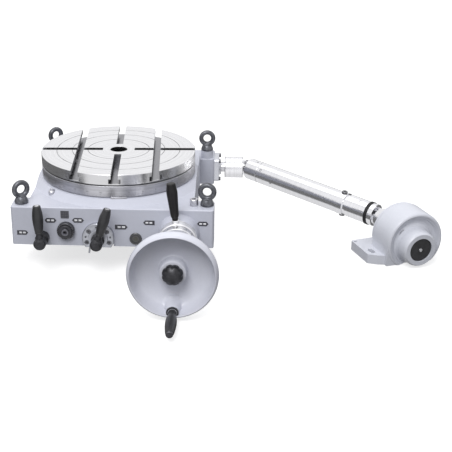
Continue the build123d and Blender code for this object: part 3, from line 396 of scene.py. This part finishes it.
def shade(obj, angle=32):
    """Smooth shading with edges kept sharp where faces meet at more than the angle."""
    me = obj.data
    me.polygons.foreach_set("use_smooth", [True] * len(me.polygons))
    bm = bmesh.new()
    bm.from_mesh(me)
    lim = radians(angle)
    sharp = [e.index for e in bm.edges if len(e.link_faces) != 2 or e.calc_face_angle(0) > lim]
    bm.free()
    at = me.attributes.get("sharp_edge") or me.attributes.new("sharp_edge", "BOOLEAN", "EDGE")
    flags = [False] * len(me.edges)
    for i in sharp:
        flags[i] = True
    at.data.foreach_set("value", flags)


# ------------------------------------------------------------------ mesh helpers


def mesh_piece(name, verts, faces, body, mat, replaces=(), angle=35, fix=True):
    me = bpy.data.meshes.new(name)
    me.from_pydata([tuple(v) for v in verts], [], faces)
    me.update()
    o = bpy.data.objects.new(name, me)
    scene.collection.objects.link(o)
    bm = bmesh.new()
    bm.from_mesh(me)
    if fix:
        bmesh.ops.remove_doubles(bm, verts=bm.verts, dist=1e-7)
        bmesh.ops.recalc_face_normals(bm, faces=bm.faces)
    bm.to_mesh(me)
    bm.free()
    me.materials.append(mat)
    shade(o, angle)
    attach(o, body)
    if replaces:
        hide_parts(*replaces)
    return o


def basis(axis, hint=(0, 0, 1)):
    a = Vector(axis).normalized()
    h = Vector(hint)
    if abs(a.dot(h)) > 0.95:
        h = Vector((1, 0, 0))
    e1 = (h - a * h.dot(a)).normalized()
    return e1, a.cross(e1), a


def catmull(pts, per=6):
    """Points on a smooth line through the given ones."""
    out = []
    n = len(pts)
    for i in range(n - 1):
        p0 = pts[max(0, i - 1)]
        p1, p2 = pts[i], pts[i + 1]
        p3 = pts[min(n - 1, i + 2)]
        for k in range(per):
            t = k / per
            out.append(tuple(0.5 * ((2 * b) + (-a + c) * t + (2 * a - 5 * b + 4 * c - d) * t * t + (-a + 3 * b - 3 * c + d) * t ** 3)
                             for a, b, c, d in zip(p0, p1, p2, p3)))
    out.append(tuple(pts[-1]))
    return out


def lathe_geo(profile, origin, axis, segs=96, closed=False):
    """Verts and faces of a turned skin; profile of (radius, distance) in mm."""
    e1, e2, a = basis(axis)
    o = Vector(origin)
    vs, fs, rings = [], [], []
    for r, h in profile:
        if r < 1e-6:
            vs.append(o + a * h * MM)
            rings.append([len(vs) - 1] * segs)
            continue
        ring = []
        for k in range(segs):
            t = 2 * pi * k / segs
            vs.append(o + a * h * MM + (e1 * cos(t) + e2 * sin(t)) * r * MM)
            ring.append(len(vs) - 1)
        rings.append(ring)
    pairs = list(zip(rings, rings[1:]))
    if closed:
        pairs.append((rings[-1], rings[0]))
    for ra, rb in pairs:
        for k in range(segs):
            q = [ra[k], ra[(k + 1) % segs], rb[(k + 1) % segs], rb[k]]
            u = []
            for i in q:
                if i not in u:
                    u.append(i)
            if len(u) > 2:
                fs.append(u)
    return vs, fs


def join_geo(*geos):
    vs, fs = [], []
    for v, f in geos:
        k = len(vs)
        vs += list(v)
        fs += [[i + k for i in q] for q in f]
    return vs, fs


def box_geo(centre, ex, ey, ez, sx, sy, sz, bevel=0.0):
    """A small block with chamfered top edges; sizes in mm along ex, ey and ez (ez is out)."""
    c = Vector(centre)
    vs = []
    b = bevel
    for z, k in ((-sz / 2, 0.0), (sz / 2 - b, 0.0), (sz / 2, b)):
        for x, y in ((-1, -1), (1, -1), (1, 1), (-1, 1)):
            vs.append(c + (ex * (x * (sx / 2 - k)) + ey * (y * (sy / 2 - k)) + ez * z) * MM)
    fs = [[3, 2, 1, 0], [8, 9, 10, 11]]
    for l in (0, 4):
        for i in range(4):
            j = (i + 1) % 4
            fs.append([l + i, l + j, l + 4 + j, l + 4 + i])
    return vs, fs


def text_geo(text, size, at, ex, ey, ez, depth=0.06):
    """Raised digits as mesh: centred at 'at', along ex, upright along ey, standing out along ez."""
    cu = bpy.data.curves.new("digits", "FONT")
    cu.body = text
    cu.size = size * MM
    cu.align_x, cu.align_y = "CENTER", "CENTER"
    cu.extrude = depth * MM
    cu.resolution_u = 2
    ob = bpy.data.objects.new("digits", cu)
    me = bpy.data.meshes.new_from_object(ob)
    vs = [Vector(at) + ex * v.co.x + ey * v.co.y + ez * v.co.z for v in me.vertices]
    fs = [list(p.vertices) for p in me.polygons]
    bpy.data.objects.remove(ob)
    bpy.data.curves.remove(cu)
    bpy.data.meshes.remove(me)
    return vs, fs


for name, o in NODES.items():
    shade(o, 28)

# ------------------------------------------------------------------ graduated ring
TT = radians(3.13)
vs, fs = [], []
R = 199.5


def add_geo(store, geo):
    k = len(store[0])
    store[0].extend(geo[0])
    store[1].extend([[i + k for i in q] for q in geo[1]])


ticks, digits = ([], []), ([], [])
for i in range(360):
    a = -pi / 2 + TT + 2 * pi * i / 360
    out = Vector((cos(a), sin(a), 0))
    tan_ = Vector((-sin(a), cos(a), 0))
    h = 7.5 if i % 10 == 0 else (6.2 if i % 5 == 0 else 4.4)
    add_geo(ticks, box_geo(out * (R * MM) + Vector((0, 0, (117.9 + h / 2) * MM)), tan_, Vector((0, 0, 1)), out, 0.42 if i % 10 else 0.55, h, 0.09))
    if i % 10 == 0:
        add_geo(digits, text_geo(str(i), 4.6, out * ((R + 0.02) * MM) + Vector((0, 0, 129.0 * MM)), tan_, Vector((0, 0, 1)), out))
mesh_piece("ring_graduations", ticks[0], ticks[1], "table", M["ink_soft"])
mesh_piece("ring_numbers", digits[0], digits[1], "table", M["ink_soft"])
# band of knurled finish between the numbers and the groove
band = ([], [])
for i in range(240):
    a = 2 * pi * i / 240
    out = Vector((cos(a), sin(a), 0))
    tan_ = Vector((-sin(a), cos(a), 0))
    add_geo(band, box_geo(out * ((R + 0.02) * MM) + Vector((0, 0, 141.0 * MM)), tan_, Vector((0, 0, 1)), out, 1.5, 4.5, 0.24, bevel=0.1))
mesh_piece("ring_grip_band", band[0], band[1], "table", M["ring"])

# ------------------------------------------------------------------ hand dial graduations
ticks, digits = ([], []), ([], [])
for i in range(120):
    a = 2 * pi * i / 120
    out = Vector((sin(a), 0, cos(a)))
    tan_ = Vector((cos(a), 0, -sin(a)))
    h = 7.0 if i % 10 == 0 else (5.2 if i % 5 == 0 else 3.4)
    add_geo(ticks, box_geo(WA + out * (45.2 * MM) + Vector((0, (-288.3 - h / 2) * MM, 0)), tan_, YN, out, 0.34 if i % 10 else 0.5, h, 0.10))
    if i % 10 == 0:
        add_geo(digits, text_geo(str((i // 10) * 5), 5.0, WA + out * (45.24 * MM) + Vector((0, -0.3010, 0)), tan_, Vector((0, 1, 0)), out))
mesh_piece("dial_graduations", ticks[0], ticks[1], "worm", M["ink"])
mesh_piece("dial_numbers", digits[0], digits[1], "worm", M["ink"])
zero = ([], [])
add_geo(zero, box_geo(WA + Vector((0, -0.2810, 0.0470)), Vector((1, 0, 0)), YN, Vector((0, 0, 1)), 0.6, 3.4, 0.2))
mesh_piece("dial_zero_line", zero[0], zero[1], "clutch", M["ink"])

# ------------------------------------------------------------------ direction markers and plates
X, Y, Z = Vector((1, 0, 0)), Vector((0, 1, 0)), Vector((0, 0, 1))
MARKERS = [(-215, 32, 27, 11.5, "right"), (-144.5, 66, 29, 12, "both"), (-77, 67.5, 29, 12, "both"),
           (29, 52, 31, 12, "right"), (97, 65, 28, 11.5, "left"), (229, 65, 28, 11.5, "both")]
light, rims = ([], []), ([], [])
for x, z, w, h, point in MARKERS:
    inner = h * 0.38
    for s in (-1, 1):
        cx = x + s * w * 0.175
        add_geo(light, box_geo(Vector((cx, -230.93, z)) * MM, X, Z, YN, w * 0.24, inner, 0.16, bevel=0.05))
    add_geo(rims, box_geo(Vector((x, -230.95, z)) * MM, X, Z, YN, 1.0, inner * 1.25, 0.18, bevel=0.05))
greys = ([], [])
for ix in range(4):
    for iz in range(4):
        add_geo(greys, box_geo(Vector((-115.6 + ix * 4.4, -231.24, 75.5 + iz * 4.35)) * MM, X, Z, YN, 2.6, 1.5, 0.10, bevel=0.03))
mesh_piece("marker_inlays", light[0], light[1], "base", M["plate_light"])
add_geo(rims, greys)
mesh_piece("marker_bars", rims[0], rims[1], "base", M["plate_grey"])

# ------------------------------------------------------------------ smooth turned parts


def lathe(name, profile, origin, axis, body, mat, replaces=(), segs=96, smooth=None, angle=30):
    """A turned piece; profile is a list of smooth runs, each a list of (radius, distance) points."""
    pts = []
    for run in profile:
        run = catmull(run, 7) if len(run) > 2 else run
        for p in run:
            if not pts or (abs(p[0] - pts[-1][0]) + abs(p[1] - pts[-1][1])) > 1e-4:
                pts.append((max(0.0, p[0]), p[1]))
    v, f = lathe_geo(pts, origin, axis, segs)
    return mesh_piece(name, v, f, body, mat, replaces, angle)


def lever_grip(name, centre, lean, body, node):
    d = Vector((sin(radians(lean)), 0, cos(radians(lean))))
    lathe(name, [[(0, 26.1), (9.3, 26.1)], [(9.3, 26.1), (9.9, 27.2), (9.9, 29.5)], [(9.9, 29.5), (9.4, 30.2), (9.9, 31.0)],
                 [(9.9, 31.0), (11.2, 40), (12.6, 52), (13.2, 64), (12.7, 76), (11.1, 87), (9.9, 93)],
                 [(9.9, 93), (9.2, 96.3), (7.0, 98.0), (3.5, 98.4), (0, 98.5)]], centre, d, body, M["grip2"], (node,), 72)
    # steel insert at the end of the grip
    lathe(name + "_insert", [[(0, 98.6), (1.9, 98.5)], [(1.9, 98.5), (2.2, 97.9)], [(2.2, 97.9), (2.5, 98.5), (4.4, 98.5), (5.6, 98.1), (6.0, 97.4)], [(6.0, 97.4), (0, 97.0)]], centre, d, body, M["bright_screw"], (), 40)


lever_grip("clamp_grip", Vector((-0.165, -0.271, 0.022)), -2.0, "clamp", "clamp_lever_grip")
lever_grip("feed_grip", Vector((-0.028, -0.271, 0.022)), 17.6, "feed", "feed_lever_grip")

# tapered clutch lever
LEAN = radians(6.3)
ld = Vector((-sin(LEAN), 0, cos(LEAN)))
lathe("clutch_grip", [[(0, 40), (4.95, 40), (4.95, 52.4)], [(4.95, 52.4), (6.6, 52.8), (7.4, 54.0), (7.4, 60)],
                      [(7.4, 60), (8.7, 60.8), (9.6, 63), (10.4, 72), (11.8, 95), (13.0, 115), (13.4, 124), (12.6, 132), (11.3, 140)],
                      [(11.3, 140), (10.5, 145), (9.0, 147.0), (5, 147.45), (0, 147.5)]],
      Vector((0.170, -0.270, 0.038)), ld, "clutch", M["grip"], ("clutch_lever",), 72)

lathe("clutch_boss", [[(0, 44), (10.2, 44)], [(10.2, 44), (9.9, 48), (9.5, 51), (8.9, 52.2), (7.8, 52.7)], [(7.8, 52.7), (0, 52.7)]],
      Vector((0.170, -0.270, 0.038)), ld, "clutch", M["clutch"], (), 64)

# crank grip, free on its pin
PZ = 0.038 - 0.089
lathe("crank_handle", [[(5.06, 476.5), (8.6, 476.5)], [(8.6, 476.5), (9.4, 478), (9.7, 482), (9.2, 487), (9.5, 492), (10.9, 501), (12.6, 514), (13.15, 527), (12.8, 543), (11.7, 558), (10.6, 569)],
                       [(10.6, 569), (10.1, 572.5), (9.2, 576), (8.4, 577.3)], [(8.4, 577.3), (5.06, 577.3)]],
      Vector((0.170, 0, PZ)), YN, "crank", M["grip2"], ("crank_grip",), 80)
lathe("crank_pin_end", [[(0, 583.3), (3.0, 583.3)], [(3.0, 583.3), (3.3, 582.9)], [(3.3, 582.9), (4.3, 582.9)], [(4.3, 582.9), (4.6, 583.35), (6.6, 583.3), (8.2, 582.2), (8.5, 580.6)], [(8.5, 580.6), (8.4, 577.8), (5.2, 577.8)]],
      Vector((0.170, 0, PZ)), YN, "worm", M["screw"], (), 48)
lathe("crank_pin_centre", [[(0, 583.4), (4.4, 583.38), (5.4, 583.2), (6.0, 582.9)], [(6.0, 582.9), (0, 582.5)]],
      Vector((0.170, 0, PZ)), YN, "worm", M["bright_screw"], (), 40)

# ------------------------------------------------------------------ handwheel: dished casting with a blended handle boss
SEG, = (168,)


def dish(r):
    """Front surface of the dish against radius, as distance along the axis in mm."""
    pts = [(31.0, 436), (34, 433.2), (40, 433.4), (56, 436.9), (70, 440.8), (79, 444.6), (85, 448.6), (89, 454.0), (92.0, 461.5), (94.2, 471), (95.8, 479.4), (97.2, 483.0), (98.8, 483.2), (100.6, 481.4), (102.6, 477.8), (104.2, 472), (104.7, 465), (103.6, 458), (100.2, 452.2)]
    return pts


front = catmull(dish(0), 5)
back = catmull([(100.2, 452.2), (92, 446), (80, 440.2), (70, 435.6), (56, 428), (44, 421.5), (37, 412), (34.3, 400), (34, 392)], 5)
hubf = [[(15.05, 458.8), (16.5, 458.8)], [(16.5, 458.8), (16.5, 460.2), (17.2, 460.5)], [(17.2, 460.5), (28, 460.5)], [(28, 460.5), (30.0, 459.9), (31.0, 458)], [(31.0, 458), (31.0, 442)], [(31.0, 442), (31.3, 438), (32.2, 434.8), (34, 433.2)]]
prof = []
for run in hubf:
    run = catmull(run, 4) if len(run) > 2 else run
    for p in run:
        if not prof or abs(p[0] - prof[-1][0]) + abs(p[1] - prof[-1][1]) > 1e-3:
            prof.append(p)
start = next(i for i, p in enumerate(front) if p[0] >= 34 and p[1] < 433.6)
for p in front[start:]:
    if abs(p[0] - prof[-1][0]) + abs(p[1] - prof[-1][1]) > 0.3:
        prof.append(p)
n_front = len(prof)
# more rings across the dish, so that the handle boss can blend in
fine = []
for i, p in enumerate(prof):
    fine.append(p)
    if i + 1 < len(prof) and 34 < p[0] < 97 and prof[i + 1][0] > p[0]:
        q = prof[i + 1]
        k = max(1, int(abs(q[0] - p[0]) / 0.9))
        for j in range(1, k):
            fine.append((p[0] + (q[0] - p[0]) * j / k, p[1] + (q[1] - p[1]) * j / k))
prof = fine
rest = back[1:] + [(34, 312.6), (15.05, 312.6)]
prof_all = prof + rest
vs, fs = lathe_geo(prof_all, WA, YN, SEG, closed=True)
moved = []
lug_h = [(0.0, 479.8), (10.2, 479.8), (11.4, 479.2), (14.2, 478.4), (15.8, 474.2), (16.8, 464), (17.8, 456), (19.6, 450), (22.5, 446), (26.0, 442.5)]


def lug_at(d):
    for (a, ha), (b, hb) in zip(lug_h, lug_h[1:]):
        if d <= b:
            t = (d - a) / (b - a)
            return ha + (hb - ha) * t
    return -1e9


for v in vs:
    x, z = (v.x - 0.170) / MM, (v.z - 0.038) / MM
    h = -v.y / MM
    r = sqrt(x * x + z * z)
    d = sqrt(x * x + (z + 89) ** 2)
    if h > 430 and 36 < r < 101.2 and d < 34:
        lh = lug_at(d)
        k = 5.0
        # smooth maximum of dish and boss
        m = max(h, lh)
        e = max(0.0, k - abs(h - lh)) / k
        m += e * e * k * 0.25
        fade = min(1.0, max(0.0, (101.2 - r) / 2.5))
        h = h + (m - h) * fade
    moved.append(Vector((v.x, -h * MM, v.z)))
wheel_obj = mesh_piece("handwheel_casting", moved, fs, "worm", M["enamel_wheel"], ("handwheel",), 40)
# dark ring round the handle pin: painted shade standing in for the contact shadow where the handle seats
lathe("handle_socket_painted_shade", [[(10.4, 479), (10.6, 480)], [(10.6, 480), (13.6, 480.1)], [(13.6, 480.1), (14.4, 479.6), (14.6, 478.6)], [(14.6, 478.6), (14.6, 476)]],
      Vector((0.170, 0, PZ)), YN, "worm", M["dark"], (), 64)

# ------------------------------------------------------------------ handwheel nut, faceted with rounded flutes
vs, fs = [], []
SEGS = 128
prof = [(10.1, 461.2), (23.6, 461.2), (24.3, 461.8), (24.6, 463.0), (24.6, 469.4), (24.1, 471.2), (22.8, 473.8), (20.6, 476.4), (17.2, 479.2), (13.0, 481.8), (8.0, 483.4), (0.0, 484.0)]
prof = prof[:1] + catmull(prof[1:], 4)
rings = []
for r, h in prof:
    ring = []
    if r < 1e-6:
        vs.append(WA + YN * (h * MM))
        rings.append([len(vs) - 1] * SEGS)
        continue
    for k in range(SEGS):
        a = 2 * pi * k / SEGS
        w = max(0.0, (r - 17.0) / 7.6)
        flute = (0.5 + 0.5 * cos(8 * a)) ** 3
        rr = r - 1.9 * w * flute
        vs.append(WA + YN * (h * MM) + Vector((sin(a), 0, cos(a))) * (rr * MM))
        ring.append(len(vs) - 1)
    rings.append(ring)
for ra, rb in zip(rings, rings[1:]):
    for k in range(SEGS):
        q = []
        for i in (ra[k], ra[(k + 1) % SEGS], rb[(k + 1) % SEGS], rb[k]):
            if i not in q:
                q.append(i)
        if len(q) > 2:
            fs.append(q)
mesh_piece("handwheel_knob_nut", vs, fs, "worm", M["dark"], ("handwheel_nut",), 30)

# ------------------------------------------------------------------ lifting eyes: forged ring blended into its collar
EYES = [(-219.0, -202.0, 100.0, 38.0), (238.0, -194.0, 100.0, -4.0), (-208.0, 240.0, 97.0, 40.0), (224.0, 240.0, 97.0, 2.0)]


def eye_mesh(x, y, z, turn):
    """Voxel-blended eye: ring, neck and collar as one forging."""
    a = radians(turn)
    mid, mr, cz = 17.0, 6.4, 35.5
    geos = []
    # ring
    vs, fs = [], []
    n1, n2 = 96, 32
    for i in range(n1):
        t = 2 * pi * i / n1
        fat = 1.0 + 0.06 * max(0.0, -sin(t))
        for j in range(n2):
            p = 2 * pi * j / n2
            rr = mid + mr * fat * cos(p) * 0.98
            vs.append((rr * cos(t), mr * fat * 1.04 * sin(p), cz + rr * sin(t)))
    for i in range(n1):
        for j in range(n2):
            fs.append([i * n2 + j, ((i + 1) % n1) * n2 + j, ((i + 1) % n1) * n2 + (j + 1) % n2, i * n2 + (j + 1) % n2])
    geos.append((vs, fs))
    prof = [(0, 0.0), (15.4, 0.0), (16.6, 0.9), (17.0, 2.2), (16.9, 5.0), (16.2, 7.0), (15.2, 9.6), (14.0, 12.4), (12.6, 15.2), (9.6, 17.6), (4.0, 18.8), (0, 19.0)]
    v, f = lathe_geo(prof, (0, 0, 0), (0, 0, 1), 64)
    v = [(p[0] / MM, p[1] / MM, p[2] / MM) for p in v]
    geos.append((v, f))
    vs, fs = join_geo(*geos)
    me = bpy.data.meshes.new("eye")
    me.from_pydata([(p[0] * MM, p[1] * MM, p[2] * MM) for p in vs], [], fs)
    ob = bpy.data.objects.new("eye_tmp", me)
    scene.collection.objects.link(ob)
    rm = ob.modifiers.new("remesh", "REMESH")
    rm.mode = "VOXEL"
    rm.voxel_size = 0.0009
    rm.use_smooth_shade = True
    sm = ob.modifiers.new("smooth", "CORRECTIVE_SMOOTH") if False else ob.modifiers.new("smooth", "SMOOTH")
    sm.factor = 0.5
    sm.iterations = 9
    dg = bpy.context.evaluated_depsgraph_get()
    ev = ob.evaluated_get(dg)
    out = bpy.data.meshes.new_from_object(ev)
    mw = Matrix.Translation(Vector((x, y, z)) * MM) @ Matrix.Rotation(a, 4, "Z")
    low = min(v.co.z for v in out.vertices)
    verts = [mw @ Vector((v.co.x, v.co.y, (v.co.z - low) if v.co.z < 0.004 else v.co.z)) for v in out.vertices]
    faces = [list(p.vertices) for p in out.polygons]
    bpy.data.objects.remove(ob)
    bpy.data.meshes.remove(out)
    return verts, faces


eye_geo = ([], [])
for e in EYES:
    add_geo(eye_geo, eye_mesh(*e))
mesh_piece("lifting_eyes", eye_geo[0], eye_geo[1], "base", M["eye"], ("eye_bolts",), 60)

# ------------------------------------------------------------------ selector dial: ring of marks and a knurled cap
marks = ([], [])
DX, DZ = -0.107, 0.042
for i in range(24):
    a = 2 * pi * i / 24
    out = Vector((sin(a), 0, cos(a)))
    tn = Vector((cos(a), 0, -sin(a)))
    add_geo(marks, box_geo(Vector((DX, -0.24252, DZ)) + out * (19.2 * MM), tn, out, YN, 0.45, 1.1 if i % 3 else 1.5, 0.08))
mesh_piece("selector_marks", marks[0], marks[1], "selector", M["plate_light"])
kn = ([], [])
for i in range(60):
    a = 2 * pi * i / 60
    out = Vector((sin(a), 0, cos(a)))
    tn = Vector((cos(a), 0, -sin(a)))
    add_geo(kn, box_geo(Vector((DX, -0.2438, DZ)) + out * (16.25 * MM), tn, YN, out, 0.9, 3.2, 0.5, bevel=0.18))
mesh_piece("selector_knurl", kn[0], kn[1], "selector", M["dial_dark"])
lathe("selector_eye", [[(4.9, 243.2), (4.9, 250.6)], [(4.9, 250.6), (5.2, 251.0), (6.8, 251.15)], [(6.8, 251.15), (8.4, 251.0), (8.6, 250.6)]],
      Vector((DX, 0, DZ)), YN, "selector", M["plate_grey"], (), 48)

# ------------------------------------------------------------------ seams and set screws on the shaft


def seam(name, origin, axis, t, radius, body, width=1.1):
    """A thin dark band with softened edges, just proud of the surface: a turned joint line, and at the coupling's ends
    painted shade for the shadow of its chamfers.
    """
    lathe(name, [[(radius - 0.4, t - width / 2), (radius + 0.01, t - width / 2)], [(radius + 0.01, t - width / 2), (radius + 0.045, t - width / 4), (radius + 0.05, t), (radius + 0.045, t + width / 4), (radius + 0.01, t + width / 2)],
                 [(radius + 0.01, t + width / 2), (radius - 0.4, t + width / 2)]], origin, axis, body, M["ink_soft"], (), 120)


seam("tube_seam", J1, SD, 53.15, 30.0, "tube")
# the two dark bands at the ends of the coupling sleeve are painted shade, standing in for the shadow of its chamfered
# ends
seam("coupling_front_painted_shade", J1, Vector((1, 0, 0)), -13.2, 30.0, "input", 0.9)
seam("coupling_back_painted_shade", J1, Vector((1, 0, 0)), -62.6, 30.0, "input", 0.9)
SU = (Vector((0, 0, 1)) - SD * SD.z).normalized()
SX = SD.cross(SU).normalized()


def set_screw(name, t, deg, radius, body):
    """A countersunk set screw with a round socket, let into the shaft."""
    out = SU * cos(radians(deg)) + SX * sin(radians(deg))
    lathe(name, [[(0, radius - 0.9), (1.7, radius - 0.9)], [(1.7, radius - 0.9), (1.9, radius - 0.1)], [(1.9, radius - 0.1), (2.5, radius + 0.05), (3.2, radius - 0.02), (3.5, radius - 0.25)], [(3.5, radius - 0.25), (3.5, radius - 1.0)]],
          J1 + SD * (t * MM), out, body, M["screw"], (), 36)


VIEW_SIDE = 1 if (SX.y < 0) else -1
set_screw("fork_set_screw", 40.0, 8 * VIEW_SIDE, 30.0, "tube")
set_screw("tube_set_screw", 66.0, 52 * VIEW_SIDE, 30.0, "tube")
set_screw("sleeve_set_screw", 392.0, 20 * VIEW_SIDE, 29.8, "inner")

# ------------------------------------------------------------------ centre screw of the bore cap
lathe("cap_screw_head", [[(0, 33.08), (1.2, 33.05), (1.6, 32.9)], [(1.6, 32.9), (1.7, 33.05), (2.6, 33.08), (3.9, 33.0), (4.6, 32.5), (5.1, 31.6)], [(5.1, 31.6), (5.1, 30.6)]],
      g(78, 0, 50), -GD, "gearbox", M["bright_screw"], (), 40)
# ------------------------------------------------------------------ stage
fw = bpy.data.meshes.new("floor")
S = 60.0
fw.from_pydata([(-S, -S, -0.0735), (S, -S, -0.0735), (S, S, -0.0735), (-S, S, -0.0735)], [], [(0, 1, 2, 3)])
floor = bpy.data.objects.new("floor", fw)
scene.collection.objects.link(floor)
fm = bpy.data.materials.new("floor")
fm.use_nodes = True
fb = fm.node_tree.nodes["Principled BSDF"]
fb.inputs["Base Color"].default_value = (0.50, 0.50, 0.50, 1)
fb.inputs["Emission Color"].default_value = (1.0, 1.0, 1.0, 1)
fb.inputs["Emission Strength"].default_value = 0.66
fm.cycles.emission_sampling = "NONE"
fb.inputs["Roughness"].default_value = 0.95
fb.inputs["Specular IOR Level"].default_value = 0.0
fw.materials.append(fm)
floor.visible_diffuse = False
floor.visible_glossy = False

world = bpy.data.worlds.new("studio")
scene.world = world
world.use_nodes = True
wn = world.node_tree
bg = wn.nodes["Background"]
tc = wn.nodes.new("ShaderNodeTexCoord")
sp = wn.nodes.new("ShaderNodeSeparateXYZ")
wn.links.new(tc.outputs["Generated"], sp.inputs[0])


def wmath(op, a, b=0.0, clamp=False):
    n = wn.nodes.new("ShaderNodeMath")
    n.operation = op
    n.use_clamp = clamp
    for i, v in enumerate((a, b)):
        if isinstance(v, bpy.types.NodeSocket):
            wn.links.new(v, n.inputs[i])
        else:
            n.inputs[i].default_value = v
    return n.outputs[0]


def wramp(fac, *stops):
    n = wn.nodes.new("ShaderNodeValToRGB")
    e = n.color_ramp.elements
    while len(e) < len(stops):
        e.new(0.5)
    for el, (pos, v) in zip(e, stops):
        el.position = pos
        el.color = (v, v, v * 1.012, 1)
    wn.links.new(fac, n.inputs[0])
    return n.outputs[0]


def wmix(fac, a, b):
    n = wn.nodes.new("ShaderNodeMix")
    n.data_type = "RGBA"
    wn.links.new(fac, n.inputs[0])
    wn.links.new(a, n.inputs[6])
    wn.links.new(b, n.inputs[7])
    return n.outputs[2]


height = wmath("MULTIPLY", wmath("ADD", sp.outputs["Z"], 1.0), 0.5)          # 0 straight down, 0.5 level, 1 straight up
flat = wmath("SQRT", wmath("ADD", wmath("MULTIPLY", sp.outputs["X"], sp.outputs["X"]), wmath("MULTIPLY", sp.outputs["Y"], sp.outputs["Y"])))
facing = wmath("MULTIPLY", wmath("DIVIDE", sp.outputs["Y"], wmath("MAXIMUM", flat, 0.001)), -1.0)
window = wramp(facing, (0.56, 0.0), (0.72, 1.0))
behind = wramp(wmath("MULTIPLY", facing, -1.0, clamp=True), (0.0, 0.0), (0.6, 1.0))
# what polished metal sees: bright ceiling and floor, a dark band level with the object, a bright card behind the camera
sides = wramp(height, (0.0, 0.80), (0.18, 0.86), (0.235, 0.17), (0.49, 0.19), (0.56, 1.00), (0.86, 1.0), (1.0, 0.74))
card = wramp(height, (0.0, 0.80), (0.20, 1.0), (0.48, 1.12), (0.56, 0.98), (0.86, 1.0), (1.0, 0.74))
back = wramp(height, (0.0, 0.80), (0.18, 0.80), (0.25, 0.17), (0.50, 0.22), (0.57, 1.05), (0.86, 1.0), (1.0, 0.74))
gloss = wmix(window, wmix(behind, sides, back), card)
# what lights painted faces: a soft ceiling, brighter behind, and little from below
front_sky = wramp(height, (0.0, 0.12), (0.47, 0.15), (0.55, 0.58), (1.0, 0.80))
back_sky = wramp(height, (0.0, 0.13), (0.47, 0.18), (0.56, 0.85), (1.0, 0.95))
soft = wmix(behind, front_sky, back_sky)
lp = wn.nodes.new("ShaderNodeLightPath")
wn.links.new(wmix(lp.outputs["Is Glossy Ray"], soft, gloss), bg.inputs[0])
bg.inputs[1].default_value = 1.0
world.cycles.sampling_method = "NONE"


def area(name, loc, target, size, power, sy=None):
    d = bpy.data.lights.new(name, "AREA")
    d.energy = power
    d.size = size
    if sy:
        d.shape = "RECTANGLE"
        d.size_y = sy
    o = bpy.data.objects.new(name, d)
    scene.collection.objects.link(o)
    o.location = loc
    o.rotation_euler = (Vector(target) - Vector(loc)).to_track_quat("-Z", "Y").to_euler()
    return o


area("key", (-0.35, -2.1, 2.5), (0.25, 0, 0.05), 1.5, 62)
area("top", (0.0, 0.7, 2.8), (0.25, 0, 0.0), 2.2, 14)

scene.view_settings.view_transform = "Standard"
scene.view_settings.look = "None"
scene.view_settings.exposure = 0.0
